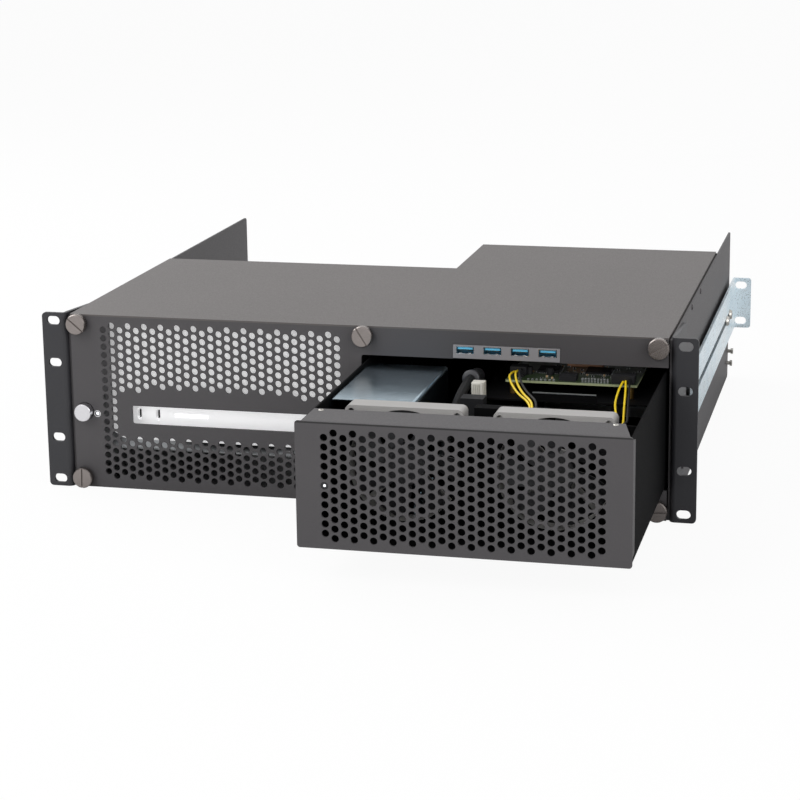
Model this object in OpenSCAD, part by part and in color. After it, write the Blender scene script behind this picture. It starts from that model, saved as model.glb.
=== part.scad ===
// Three-unit rack chassis: a computer bay on the left, and on the right a
// pull-out sled that carries two expansion cards, their supply and two fans.
// X runs to the right, Y to the rear and Z up. The origin is the centre of the
// front rack holes, on the face of the ears that seats on the rack's rails.

/* [Rack ears] */
// Width over both rack ears
rack_w = 482.6; // [480:0.1:485]
// Height of a rack ear
rack_h = 132.5; // [130:0.1:134]
// Width of an ear's flange beside the body
ear_w = 18.8; // [17:0.1:20]
// From an ear's outer edge to the middle of its holes
rack_hole_in = 8.75; // [8:0.05:9.5]
// From an ear's end to the middle of its outer hole
rack_hole_end = 5.925; // [5:0.025:8]
// Spacing of the two inner rack holes
rack_inner_rise = 57.15; // [50:0.05:60]
// Spacing of the two holes in a rear rack bracket
rear_hole_rise = 31.75; // [30:0.05:32]
// Length of a rack slot
rack_slot_l = 10; // [8:0.1:10.5]
// Width of a rack slot
rack_slot_w = 6.6; // [6:0.1:7.5]
// Thickness of a rack ear
ear_t = 2.5; // [1.5:0.1:3]
// Outer radius of an ear's bend
ear_bend_r = 4; // [3:0.1:6]
// Length of the leg that runs back along the side
ear_leg = 70; // [40:1:90]
// Radius of an ear's outer corners
ear_r = 3; // [1:0.5:6]

/* [Body] */
// Height that the body leaves free in its three rack units
head_room = 0.9; // [0.5:0.1:2]
// Length of the side plates
side_len = 431; // [380:1:480]
// Thickness of a side plate
side_t = 1.5; // [1:0.1:2]
// Thickness of the bent sheet of the pan, cover and inner walls
sheet_t = 1.2; // [0.8:0.1:1.5]
// Thickness of the front panel
panel_t = 2; // [1.5:0.1:3]
// Depth of the computer bay and of the cover over it
left_depth = 219; // [212:1:240]
// Depth of the sled bay and of the cover over it
right_depth = 326; // [322:1:350]
// Side step of the cover's rear edge, to the right of the middle
notch_x = 23.3; // [18:0.1:26]

/* [Front panel] */
// Left edge of the sled's opening
bay_x = 1; // [0:0.1:2]
// Bottom edge of the sled's opening above the body's bottom
bay_sill = 22; // [20:0.1:23]
// From the body's top down to the sled's opening
bay_head = 21.2; // [20.5:0.1:22]
// Diameter of a vent hole
vent_d = 5; // [3.5:0.1:5.4]
// Spacing of the vent holes in the front panel
vent_pitch = 6.35; // [6:0.05:6.4]
// From the middle of the chassis to the last vent column
vent_in = 17.2; // [14:0.1:20]
// Least distance from the panel's left edge to the first vent column
vent_side = 25; // [22:0.1:28]
// Least distance from the body's top to the top vent of an even column
vent_top = 10.8; // [10.5:0.1:14]
// How far the port slot ends inside the outer vent columns
port_slot_in = 19.4; // [10:0.1:30]
// Height of the port slot
port_slot_h = 13.8; // [10:0.1:14]
// Width of the plate round the four data ports
usb_plate_w = 76.5; // [74:0.5:80]
// Height of the plate round the four data ports
usb_plate_h = 9.8; // [8.5:0.1:10]
// Spacing of the four data ports
usb_pitch = 19.7; // [18:0.1:20]
// Diameter of a thumbscrew's head
screw_head_d = 15.2; // [13:0.1:15.2]
// Height of a thumbscrew's head
screw_head_h = 6.5; // [4:0.1:8]
// Diameter of the power button
knob_d = 13; // [10:0.1:14]
// How far the power button stands out
knob_out = 6.5; // [4:0.1:8]
// How far the power button travels
knob_travel = 3; // [1:0.1:3.5]

/* [Sled] */
// How far the sled is pulled out
sled_out = 174; // [120:1:200]
// Length of the sled behind its face
sled_len = 318; // [300:1:318]
// Length of the wide front part of the sled
sled_wide_len = 214; // [205:1:214]
// Thickness of the sled's face
face_t = 1.5; // [1:0.1:2]
// Spacing of the vent holes in the face
face_pitch = 6.4; // [6:0.05:6.4]
// Least distance from a side of the face to its first vent column
face_side = 18; // [16:0.5:24]
// Least distance from the face's top and bottom to a vent
face_edge = 4; // [3:0.5:8]
// Depth of the lip over the sled's front
lip_depth = 30.5; // [20:0.5:31]
// Depth of the flange on the right of the face
return_depth = 10; // [6:0.5:12]

/* [Fans] */
// Size of a fan's square frame
fan_size = 80; // [76:1:80]
// Thickness of a fan
fan_t = 15; // [12:0.5:15]
// Number of blades on a rotor
fan_blades = 7; // [5:1:9]

/* [Supply] */
// Width of the power supply
psu_w = 58.5; // [50:0.5:60]
// Height of the power supply
psu_h = 79.6; // [70:0.1:80]
// Depth of the power supply
psu_l = 103.5; // [90:0.5:110]

/* [Computer] */
// Room for the power switch on the left of the computer
host_left = 20.5; // [19:0.1:23]
// Clearance on the right of the computer
host_right = 3.3; // [1:0.1:5]
// Clearance between the computer and the cover
host_head = 4.1; // [2:0.1:10]
// Radius of the computer's upright corners
host_r = 22; // [15:1:30]

/* [Rear brackets] */
// Length of a bracket along the side
bar_l = 340; // [300:1:360]
// Thickness of a bracket
bar_t = 2; // [1.5:0.1:2.5]
// Height of a bracket
bar_h = 44.45; // [42:0.05:44.45]
// Gap between a bracket and the side plate
bar_gap = 3; // [2:0.1:4]
// Length of the slot along a bracket
bar_slot_l = 270; // [200:1:280]

/* [Hidden] */
$fn = 40;

// Cuts run past the faces that they pass through by this much
over = 1;
// Clearance of a shaft that turns in its hole, on the radius
run_gap = 0.05;
// Small clearance between a moving piece and its seat
seat_gap = 0.3;

// The body stands level with the ears' bottom
body_h = rack_h - head_room;
side_out = rack_w/2 - ear_w;
rack_hole_x = rack_w/2 - rack_hole_in;
rack_hole_z = rack_h/2 - rack_hole_end;
side_in = side_out - side_t;
cover_gap = 0.7;
cover_out = side_in - cover_gap;
cover_under = body_h - sheet_t;
side_top = body_h - 1.5*sheet_t;
pan_top = sheet_t;
flange_h = 17;
cover_flange = 5;
pan_flange = 6.4;
cover_side_flange = 8.5;
tab_w = 12;
frame_y = panel_t + sheet_t;
cable_hole_x = -180;
cable_hole_pitch = 45;
cable_hole_l = 24;
cable_hole_w = 8;

// The sled's opening in the front panel and the bay behind it
sill_z = bay_sill;
strip_z = body_h - bay_head;
bay_h = strip_z - sill_z;
divider_x = bay_x - sheet_t;
rear_wall_x = notch_x - sheet_t;

// Vent pattern of the front panel, counted from its first column's lowest hole
vent_cols = floor((cover_out - vent_side - vent_in)/vent_pitch) + 1;
vent_x = -vent_in - (vent_cols - 1)*vent_pitch;
vent_z = 12.5;
vent_rows = floor((body_h - vent_z - vent_top)/vent_pitch) + 1;
vent_band = 16.3;
vent_edge_cols = 2;
vent_short_from = 6;
panel_split_x = -8;

// Port slot, centred on the vent columns
port_slot_l = (vent_cols - 1)*vent_pitch - 2*port_slot_in;
port_slot_x = vent_x + (vent_cols - 1)*vent_pitch/2 + 1;
port_slot_z = 57;
port_slot_r = 1.5;

// Thumbscrews: places on the panel and the shaft behind the head
screw_side_in = 8.5;
screw_x = side_out - screw_side_in;
screw_mid_x = bay_x + 2;
screw_low_z = screw_head_d/2 + 0.1;
screw_high_z = body_h - 6.9;
screw_shaft_r = 3;
screw_hole_r = 3.6;
screw_len = 7;
screw_slot_w = 1.2;
screw_slot_d = 1.1;
screw_places = [
    [-screw_x, screw_high_z, -40], [screw_mid_x, screw_high_z, -58], [screw_x, screw_high_z, 32],
    [-screw_x, screw_low_z, 88], [screw_mid_x, screw_low_z, 15], [screw_x, screw_low_z, 4]
];

// Power button and the switch behind it
knob_in = 9.5;
knob_x = knob_in - side_in;
knob_z = 58;
knob_gap = 0.3;
knob_stem_r = 3;
knob_back = 1.2;
peep_r = 1.5;
switch_y = panel_t + knob_back + knob_travel + 1.5*sheet_t;
switch_w = 16;
switch_l = 14;
stem_l = 9;

// Data ports in the strip over the sled
usb_from_mid = 4.7;
usb_x = (bay_x + side_in)/2 - usb_from_mid;
usb_sill = 0.6;
usb_z = strip_z + usb_sill;
usb_gap = 0.3;
usb_plate_t = 1.8;
usb_port_w = 13.1;
usb_port_h = 5.6;
usb_port_up = 5.9;
usb_port_z = usb_z + usb_port_up;
usb_wall = 0.4;
usb_shell_l = 14;
usb_tongue_w = 10.6;
usb_tongue_t = 1.9;
usb_tongue_in = 0.8;
usb_board_t = 1.6;
usb_board_l = 38;
usb_count = 4;

// Computer, its round base and the shelf below it
host_w = side_in + divider_x - host_left - host_right;
host_x = host_left - side_in + host_w/2;
host_y = 10;
host_shelf_z = 27.8;
host_base_h = 5.8;
host_base_in = 16.5;
host_base_r = host_w/2 - host_base_in;
host_z = host_shelf_z + sheet_t + host_base_h;
host_h = cover_under - host_z - host_head;
host_edge = 3;
host_port_z = host_z + 20.6;
host_port_shares = [-0.717, -0.57];
host_ports_x = [for (share = host_port_shares) share*host_w/2];
host_card_share = -0.306;
host_card_x = host_card_share*host_w/2;
host_port_w = 3.2;
host_port_h = 9;
host_card_w = 26;
host_card_h = 3;
host_port_d = 7;
shelf_side = 1.8;

// Sled: face, tray and lip. In its own frame the face's front is at y = 0
face_gap = 1.2;
face_x0 = bay_x + face_gap;
face_x1 = side_in - face_gap;
face_z0 = sill_z + face_gap;
face_z1 = strip_z - 2*face_gap;
face_r = 2;
face_mid_x = (face_x0 + face_x1)/2;
face_mid_z = (face_z0 + face_z1)/2;
face_cols = floor((face_x1 - face_x0 - 2*face_side)/face_pitch) + 1;
face_rows = floor((face_z1 - face_z0 - 2*face_edge - vent_d)/face_pitch);
tray_x0 = face_x0 + 2.8;
tray_x1 = face_x1 - 1;
tray_z0 = face_z0 + 1.1;
tray_top = face_z1 - sheet_t;
tray_step_x = notch_x + 5;
tray_floor = tray_z0 + sheet_t;
lip_x0 = tray_x0 + 1.5;
strip_w = 12;
strip_h = tray_z0 - sill_z - seat_gap;

// Fans, one behind each half of the face's vents
fan_y = 52;
fan_z0 = tray_floor + 0.6;
fan_mid_x = face_mid_x + 0.5;
fan_span_share = 0.4711;
fan_span = fan_span_share*(tray_x1 - tray_x0 - 2*sheet_t);
fan_mid_z = fan_z0 + fan_size/2;
fan_bore_r = fan_size/2 - 2;
fan_hub_r = 13.5;
fan_blade_r = fan_bore_r - 1;
fan_hole_r = 2.15;
fan_hole_at = fan_size/2 - 4.25;
fan_corner = 4;
fan_strut = 2;
fan_pin_r = 1.5;
blade_width = 34;
blade_pitch = 24;
blade_t = 1.2;
fan_bracket_h = fan_size - 4;

// Power supply
psu_x0 = tray_x0 + sheet_t + seat_gap;
psu_y0 = fan_y + fan_t + 1;
psu_z0 = tray_floor;
psu_wall = 1;
psu_r = 2.5;

// Backplane and the boards beside the supply
plane_from_psu = 27;
plane_x = psu_x0 + psu_w + plane_from_psu;
plane_t = 1.6;
plane_y0 = 110;
plane_y1 = 300;
board_tray_down = 18.6;
board_tray_z = tray_top - board_tray_down;
plane_below_tray = 2.5;
plane_h = board_tray_z - tray_floor - plane_below_tray;
card_pitch = 20.32;
card_share = 0.275;
card_z = tray_floor + card_share*plane_h;
card_slot_l = 89;
card_slot_w = 7.5;
card_slot_h = 11;
card_slot_y = 150;
board_tray_y = 150;
board_tray_lip = 10;
guide_gap = 8;
guide_from_plane = 12;
guide_w = 48;
guide_x0 = plane_x + guide_from_plane;
guide_x1 = guide_x0 + guide_w;
guide_z = 102;
guide_fold = 10;
board_from_plane = 16;
board_x0 = plane_x + board_from_plane;
board_right = 18.8;
board_x1 = tray_x1 - board_right;
board_y0 = 163;
board_l = 96;
board_t = 1.6;
board_z = board_tray_z + sheet_t + 8.8;
standoff_r = 2.2;

// Rear of the sled
rear_open_gap = 7;
cover_slot_w = 108;
cover_slot_h = 14;
inlet_w = 27;
inlet_h = 20;
inlet_from_plane = 30;
inlet_x = plane_x - inlet_from_plane;
inlet_z = 50;

// Rear rack bracket on the side, at the second rack unit
bar_z = rack_h/2;
bar_y1 = side_len + 2;
bar_y0 = bar_y1 - bar_l;
bar_slot_w = 5.5;
bar_slot_y1 = bar_y1 - 42;
bar_screws = [bar_slot_y1 - 8, bar_slot_y1 - 34];
bar_screw_r = 2.5;
bar_r = 2.5;
spacer_r = 5;

// Round pieces by size
module disc(r, h) { rotate([90, 0, 0]) translate([0, 0, -h]) cylinder(r = r, h = h); }
module box(a, b) { translate(a) cube(b - a); }
// A flat shape drawn in X and Z, made thick from y0 towards the rear
module upright(y0, t) { translate([0, y0 + t, 0]) rotate([90, 0, 0]) linear_extrude(t) children(); }
// A flat shape drawn in Y and Z, made thick from x0 towards the right
module sideways(x0, t) { translate([x0, 0, 0]) rotate([90, 0, 90]) linear_extrude(t) children(); }
module round_rect(a, b, r) {
    translate([a[0] + r, a[1]]) square([b[0] - a[0] - 2*r, b[1] - a[1]]);
    translate([a[0], a[1] + r]) square([b[0] - a[0], b[1] - a[1] - 2*r]);
    for (x = [a[0] + r, b[0] - r], z = [a[1] + r, b[1] - r]) translate([x, z]) circle(r);
}
module slot_2d(l, w) {
    square([l - w, w], center = true);
    for (s = [-1, 1]) translate([s*(l - w)/2, 0]) circle(w/2);
}
module mirror_x(s) { if (s < 0) mirror([1, 0, 0]) children(); else children(); }
// The drawing height zero is the ears' bottom; the origin is their middle
module placed() { translate([0, 0, -rack_h/2]) children(); }
module on_sled() { placed() translate([0, -sled_out, 0]) children(); }

// A tube along a smooth curve through chosen points
function lerp3(a, b, t) = a + (b - a)*t;
function unit(v) = v/norm(v);
function spline_at(p, i, t) = let (
        n = len(p), a = p[max(i - 1, 0)], b = p[i], c = p[min(i + 1, n - 1)], d = p[min(i + 2, n - 1)])
    0.5*((2*b) + (c - a)*t + (2*a - 5*b + 4*c - d)*t*t + (3*b - a - 3*c + d)*t*t*t);
function spline(p, steps) = [
    for (i = [0 : len(p) - 2], k = [0 : steps - 1]) spline_at(p, i, k/steps), p[len(p) - 1]];
function tangent(q, i) = unit(q[min(i + 1, len(q) - 1)] - q[max(i - 1, 0)]);
function frames(q, i, n) = i == len(q) ? [] :
    let (t = tangent(q, i), m = unit(n - t*(n*t))) concat([[m, cross(t, m)]], frames(q, i + 1, m));
module tube(p, d, steps = 2, sides = 8) {
    q = spline(p, steps);
    f = frames(q, 0, [0.31, 0.2, 0.93]);
    points = [for (i = [0 : len(q) - 1], k = [0 : sides - 1])
        q[i] + (f[i][0]*cos(360*k/sides) + f[i][1]*sin(360*k/sides))*d/2];
    last = (len(q) - 1)*sides;
    faces = concat(
        [[for (k = [0 : sides - 1]) k]],
        [[for (k = [sides - 1 : -1 : 0]) last + k]],
        [for (i = [0 : len(q) - 2], k = [0 : sides - 1])
            [i*sides + k, (i + 1)*sides + k, (i + 1)*sides + (k + 1)%sides]],
        [for (i = [0 : len(q) - 2], k = [0 : sides - 1])
            [i*sides + k, (i + 1)*sides + (k + 1)%sides, i*sides + (k + 1)%sides]]);
    polyhedron(points, faces);
}

// Chassis

module base_pan() {
    color("#3f3d3f") placed() difference() {
        union() {
            box([-side_in, panel_t, 0], [side_in, right_depth, pan_top]);
            box([-side_in, panel_t, 0], [side_in, frame_y, pan_flange]);
            for (p = screw_places) if (p[1] == screw_low_z)
                box([p[0] - tab_w/2, panel_t, 0], [p[0] + tab_w/2, frame_y, p[1] + tab_w/2]);
            box([-side_in, right_depth - sheet_t, 0], [rear_wall_x - 2*over, right_depth, flange_h]);
        }
        for (p = screw_places) if (p[1] == screw_low_z)
            translate([p[0], panel_t - over, p[1]]) disc(screw_shaft_r + run_gap, sheet_t + 2*over);
        // Cable holes in the open rear part
        for (k = [0 : 3]) translate([cable_hole_x + k*cable_hole_pitch, (left_depth + right_depth)/2, 0])
            linear_extrude(3*sheet_t, center = true) slot_2d(cable_hole_l, cable_hole_w);
    }
}

module side_plate(s) {
    color("#3a383a") placed() mirror_x(s) difference() {
        union() {
            sideways(side_in, side_t) difference() {
                translate([panel_t, 0]) round_rect([0, 0], [side_len - panel_t, side_top], ear_r);
                for (y = bar_screws) translate([y, bar_z]) circle(bar_screw_r - over/2);
            }
            box([side_in, panel_t, 0], [side_out, panel_t + 2*ear_r, side_top]);
        }
        for (y = ear_screws_y, z = ear_screws_z)
            translate([side_in - over, y, z]) rotate([0, 90, 0])
                cylinder(r = ear_hole_r, h = side_t + 2*over);
    }
}
module side_plate_left() { side_plate(-1); }
module side_plate_right() { side_plate(1); }

// The wall between the bays steps sideways behind the computer bay
module bay_divider() {
    color("#2b2a2c") placed() difference() {
        translate([0, 0, pan_top]) linear_extrude(cover_under - pan_top) {
            translate([divider_x, frame_y]) square([sheet_t, left_depth - frame_y]);
            translate([divider_x, left_depth - sheet_t]) square([notch_x - divider_x, sheet_t]);
            translate([rear_wall_x, left_depth - sheet_t])
                square([sheet_t, right_depth - left_depth + sheet_t]);
        }
        // Relief round the middle thumbscrews
        for (z = [screw_low_z, screw_high_z]) translate([screw_mid_x, 0, z])
            box([-screw_len, 0, -2*screw_shaft_r], [screw_len, screw_len + over, 2*screw_shaft_r]);
    }
}

module bay_floor() {
    color("#2b2a2c") placed() {
        box([bay_x, frame_y, sill_z - sheet_t], [side_in, left_depth - sheet_t, sill_z]);
        box([notch_x, left_depth - sheet_t, sill_z - sheet_t], [side_in, right_depth - sheet_t, sill_z]);
        // Folded legs stand on the pan
        box([side_in - 12, frame_y, pan_top], [side_in - 12 + sheet_t, right_depth - sheet_t,
            sill_z - sheet_t]);
        box([notch_x + 3, frame_y, pan_top], [notch_x + 3 + sheet_t, right_depth - sheet_t,
            sill_z - sheet_t]);
    }
}

module rear_frame() {
    color("#3a383a") placed() upright(right_depth - sheet_t, sheet_t) difference() {
        translate([notch_x, pan_top]) square([side_in - notch_x, cover_under - pan_top]);
        round_rect([notch_x + rear_open_gap, sill_z + rear_open_gap/2],
            [side_in - rear_open_gap, strip_z - rear_open_gap/2], 3);
    }
}

module top_cover() {
    color("#5b5758") placed() difference() {
        union() {
            translate([0, 0, cover_under]) linear_extrude(sheet_t) polygon([
                [-cover_out, 0], [cover_out, 0], [cover_out, right_depth],
                [notch_x, right_depth], [notch_x, left_depth], [-cover_out, left_depth]]);
            // Flanges: front, sides and the rear of the computer bay
            box([-cover_out, panel_t, body_h - cover_flange], [cover_out, frame_y, cover_under]);
            for (p = screw_places) if (p[1] == screw_high_z)
                box([p[0] - tab_w/2, panel_t, p[1] - tab_w/2], [p[0] + tab_w/2, frame_y, cover_under]);
            box([-cover_out, frame_y, body_h - cover_side_flange],
                [-cover_out + sheet_t, left_depth, cover_under]);
            box([cover_out - sheet_t, frame_y, body_h - cover_side_flange],
                [cover_out, right_depth - 2*sheet_t, cover_under]);
            box([-cover_out, left_depth - sheet_t, body_h - cover_flange],
                [divider_x - seat_gap, left_depth, cover_under]);
        }
        for (p = screw_places) if (p[1] == screw_high_z)
            translate([p[0], panel_t - over, p[1]]) disc(screw_shaft_r + run_gap, sheet_t + 2*over);
    }
}

// Seen from above: the flange, the bend at the body's front corner, and the leg
module ear_section() {
    translate([side_out + ear_bend_r, -ear_t]) square([ear_w - ear_bend_r, ear_t]);
    translate([side_out, ear_bend_r - ear_t]) square([ear_t, ear_leg - ear_bend_r + ear_t]);
    translate([side_out + ear_bend_r, ear_bend_r - ear_t]) intersection() {
        difference() { circle(ear_bend_r); circle(ear_bend_r - ear_t); }
        translate([-ear_bend_r, -ear_bend_r]) square(ear_bend_r);
    }
}
module ear(s) {
    color("#2a282b") placed() mirror_x(s) difference() {
        intersection() {
            linear_extrude(rack_h) ear_section();
            union() {
                upright(-ear_t, ear_bend_r) {
                    round_rect([side_out + ear_r, 0], [rack_w/2, rack_h], ear_r);
                    translate([side_out, 0]) square([2*ear_r, rack_h]);
                }
                sideways(side_out, ear_t) polygon([
                    [0, 0], [0, rack_h], [ear_bend_r, rack_h], [ear_leg, rack_h - 2*ear_t],
                    [ear_leg, 2*ear_t], [ear_bend_r, 0]]);
            }
        }
        for (z = [-rack_hole_z, -rack_inner_rise/2, rack_inner_rise/2, rack_hole_z])
            upright(-ear_t - over, ear_t + 2*over) translate([rack_hole_x, rack_h/2 + z])
                slot_2d(rack_slot_l, rack_slot_w);
        for (y = ear_screws_y, z = ear_screws_z)
            translate([side_out - over, y, z]) rotate([0, 90, 0])
                cylinder(r = ear_hole_r, h = ear_t + 2*over);
    }
}
module rack_ear_left() { ear(-1); }
module rack_ear_right() { ear(1); }

// Screws that hold the ears and the cover to the side plates
ear_screws_y = [ear_leg/4, ear_leg*3/4];
ear_screws_z = [body_h/5, body_h*4/5];
cover_screws_y = [left_depth/4 + ear_leg, left_depth - ear_leg/2];
ear_hole_r = 1.7;
ear_screw_r = 1.6;
ear_head_r = 3.2;
ear_head_h = 1.4;
cover_head_r = 2.6;
cover_head_h = 0.8;
head_draft_share = 0.75;
module side_screws() {
    color("#3c3a3c") placed() for (s = [-1, 1], y = ear_screws_y, z = ear_screws_z)
        mirror_x(s) translate([side_in - sheet_t, y, z]) rotate([0, 90, 0]) {
            cylinder(r = ear_screw_r, h = side_t + sheet_t + ear_t);
            translate([0, 0, side_t + sheet_t + ear_t])
                cylinder(r1 = ear_head_r, r2 = head_draft_share*ear_head_r, h = ear_head_h);
        }
    color("#57535a") placed() for (s = [-1, 1], y = cover_screws_y)
        mirror_x(s) translate([side_out, y, body_h - cover_side_flange/2]) rotate([0, 90, 0])
            cylinder(r1 = cover_head_r, r2 = head_draft_share*cover_head_r, h = cover_head_h);
}

// Front panel: the vented part over the computer, and the part round the sled

function vent_short(c) = c >= vent_short_from && c < vent_cols - vent_short_from + 1;
function vent_rows_at(c) = vent_rows + c%2;
function vent_at(c, r) = vent_z + (r - (c%2)/2)*vent_pitch;
// The plain band round the port slot reaches half a pitch higher over its middle
function in_band(c, z) = c >= vent_edge_cols && c < vent_cols - vent_edge_cols && z > port_slot_z - vent_band
    && z < port_slot_z + vent_band + (c%2 == 0 && vent_short(c) ? vent_pitch/2 : 0);
module vents() {
    for (c = [0 : vent_cols - 1], r = [0 : vent_rows_at(c) - 1]) if (!in_band(c, vent_at(c, r)))
        translate([vent_x + c*vent_pitch, vent_at(c, r)]) circle(vent_d/2, $fn = 16);
}

module front_grille() {
    color("#4a4749") placed() upright(0, panel_t) difference() {
        translate([-cover_out, 0]) square([panel_split_x + cover_out, cover_under]);
        vents();
        round_rect([port_slot_x - port_slot_l/2, port_slot_z - port_slot_h/2],
            [port_slot_x + port_slot_l/2, port_slot_z + port_slot_h/2], port_slot_r);
        translate([knob_x, knob_z]) circle(knob_d/2 + knob_gap);
        // Peephole of the power light
        translate([knob_x + knob_in, knob_z - peep_r]) circle(peep_r);
        for (p = screw_places) translate([p[0], p[1]]) circle(screw_hole_r);
    }
}

module front_bay_frame() {
    color("#4a4749") placed() upright(0, panel_t) difference() {
        translate([panel_split_x, 0]) square([cover_out - panel_split_x, cover_under]);
        round_rect([bay_x, sill_z], [bay_x + 4*face_r, strip_z], face_r);
        translate([bay_x + face_r, sill_z]) square([side_out, bay_h]);
        translate([usb_x - usb_plate_w/2 - usb_gap, strip_z - over])
            square([usb_plate_w + 2*usb_gap, usb_z - strip_z + over + usb_plate_h + usb_gap]);
        for (p = screw_places) translate([p[0], p[1]]) circle(screw_hole_r);
    }
}

module thumbscrew(i) {
    p = screw_places[i];
    color("#5f5b5a") placed() translate([p[0], 0, p[1]]) rotate([90, 0, 0]) difference() {
        union() {
            translate([0, 0, seat_gap]) cylinder(d = screw_head_d*0.8, h = screw_head_h/4);
            translate([0, 0, seat_gap + screw_head_h/4]) linear_extrude(screw_head_h*3/5) difference() {
                circle(d = screw_head_d, $fn = 60);
                for (a = [0 : 12 : 348]) rotate(a) translate([screw_head_d/2 + 0.1, 0])
                    circle(0.45, $fn = 13);
            }
            translate([0, 0, seat_gap + screw_head_h*17/20])
                cylinder(d1 = screw_head_d, d2 = screw_head_d - 1.2, h = screw_head_h*3/20);
            translate([0, 0, -screw_len]) cylinder(r = screw_shaft_r, h = screw_len + seat_gap + over);
        }
        rotate(p[2]) translate([0, 0, seat_gap + screw_head_h])
            cube([2*screw_head_d, screw_slot_w, 2*screw_slot_d], center = true);
    }
}
module thumbscrew_top_left() { thumbscrew(0); }
module thumbscrew_top_middle() { thumbscrew(1); }
module thumbscrew_top_right() { thumbscrew(2); }
module thumbscrew_bottom_left() { thumbscrew(3); }
module thumbscrew_bottom_middle() { thumbscrew(4); }
module thumbscrew_bottom_right() { thumbscrew(5); }

knob_bevel = 0.4;
module power_button() {
    color("#c9c9cb") placed() translate([knob_x, 0, knob_z]) rotate([-90, 0, 0]) {
        translate([0, 0, -knob_out]) cylinder(d1 = knob_d - 2*knob_bevel, d2 = knob_d, h = knob_bevel);
        translate([0, 0, knob_bevel - knob_out]) cylinder(d = knob_d,
            h = knob_out + panel_t + knob_back - knob_bevel);
        translate([0, 0, panel_t + knob_back]) cylinder(r = knob_stem_r, h = stem_l);
    }
}

module power_switch() {
    color("#222124") placed() translate([knob_x, switch_y, knob_z]) difference() {
        union() {
            box([-side_out - knob_x + side_t, 0, -switch_w/2], [switch_w/2, sheet_t, switch_w/2]);
            box([-switch_w/2, 0, -switch_w/2 + sheet_t], [switch_w/2, switch_l, switch_w/2 - sheet_t]);
        }
        translate([0, -over, 0]) disc(knob_stem_r + run_gap, switch_l - sheet_t + over);
    }
}

module usb_plate() {
    color("#555153") placed() upright(-usb_gap, usb_plate_t) difference() {
        translate([usb_x - usb_plate_w/2, usb_z]) square([usb_plate_w, usb_plate_h]);
        usb_each() square([usb_port_w, usb_port_h], center = true);
    }
}
module usb_each() {
    for (k = [0 : usb_count - 1]) translate([usb_x + (k - (usb_count - 1)/2)*usb_pitch, usb_port_z])
        children();
}
module usb_shells() {
    color("#b9bcc0") placed() upright(-usb_gap/2, usb_shell_l) usb_each() difference() {
        square([usb_port_w, usb_port_h], center = true);
        square([usb_port_w - 2*usb_wall, usb_port_h - 2*usb_wall], center = true);
    }
}
module usb_tongues() {
    color("#2f8fd0") placed() {
        upright(usb_tongue_in, usb_shell_l - usb_tongue_in - usb_gap) usb_each()
            translate([0, usb_port_h/2 - usb_wall - usb_tongue_t/2])
                square([usb_tongue_w, usb_tongue_t], center = true);
        upright(usb_shell_l - usb_gap - usb_wall, 2*usb_wall) usb_each()
            square([usb_port_w - 2*usb_wall, usb_port_h - 2*usb_wall], center = true);
    }
}
// Chip under the port board: its side, and how far back it starts
usb_chip_w = 12;
usb_chip_y = 22;
module usb_board() {
    color("#2c5a3c") placed() {
        box([usb_x - usb_plate_w/2 + usb_gap, usb_plate_t, usb_port_z + usb_port_h/2],
            [usb_x + usb_plate_w/2 - usb_gap, usb_plate_t + usb_board_l,
                usb_port_z + usb_port_h/2 + usb_board_t]);
        box([usb_x - usb_chip_w/2, usb_chip_y, usb_port_z - usb_port_h/2],
            [usb_x + usb_chip_w/2, usb_chip_y + usb_chip_w, usb_port_z + usb_port_h/2]);
    }
}

// Computer in the left bay

module host_shelf() {
    color("#a9adb0") placed() {
        box([shelf_side - side_in, host_y + sheet_t, host_shelf_z],
            [divider_x, left_depth - 3*sheet_t, host_shelf_z + sheet_t]);
        for (x = [shelf_side - side_in, divider_x - sheet_t])
            box([x, host_y + sheet_t, pan_top], [x + sheet_t, left_depth - 3*sheet_t, host_shelf_z]);
    }
}

// Foot of the computer: its flare, and the rim and depth of the pocket in its top
host_base_flare = 2;
host_base_rim = 14;
host_base_pocket = 2;
module host_base() {
    color("#1d1c1e") placed() translate([host_x, host_y + host_w/2, host_shelf_z + sheet_t]) difference() {
        cylinder(r1 = host_base_r, r2 = host_base_r + host_base_flare, h = host_base_h, $fn = 72);
        translate([0, 0, host_base_h - host_base_pocket])
            cylinder(r = host_base_r - host_base_rim, h = 2*over + over);
    }
}

module host_block(inset) {
    linear_extrude(host_h - 2*host_edge + 2*inset, center = true)
        round_rect([-host_w/2 + host_edge - inset, -host_w/2 + host_edge - inset],
            [host_w/2 - host_edge + inset, host_w/2 - host_edge + inset], host_r - host_edge + inset);
}
module host_housing() {
    color("#d9dadc") placed() translate([host_x, host_y + host_w/2, host_z + host_h/2]) difference() {
        union() {
            host_block(host_edge/3);
            // A flat band round the middle with softened top and bottom edges
            linear_extrude(host_h - 2*host_edge, center = true)
                round_rect([-host_w/2, -host_w/2], [host_w/2, host_w/2], host_r);
            linear_extrude(host_h, center = true)
                round_rect([-host_w/2 + host_edge, -host_w/2 + host_edge],
                    [host_w/2 - host_edge, host_w/2 - host_edge], host_r - host_edge);
        }
        translate([0, -host_w/2 - over, host_port_z - host_z - host_h/2]) rotate([-90, 0, 0])
            linear_extrude(host_port_d + over) {
            for (x = host_ports_x) translate([x, 0]) rotate(90) slot_2d(host_port_h, host_port_w);
            translate([host_card_x, 0]) square([host_card_w, host_card_h], center = true);
        }
    }
}
module host_tongues() {
    color("#18181a") placed() translate([host_x, host_y, host_port_z]) for (x = host_ports_x)
        box([x - host_port_w/8, host_port_d/5, -host_port_h/3],
            [x + host_port_w/8, host_port_d, host_port_h/3]);
}

// Brackets that carry the rear of the chassis

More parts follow.
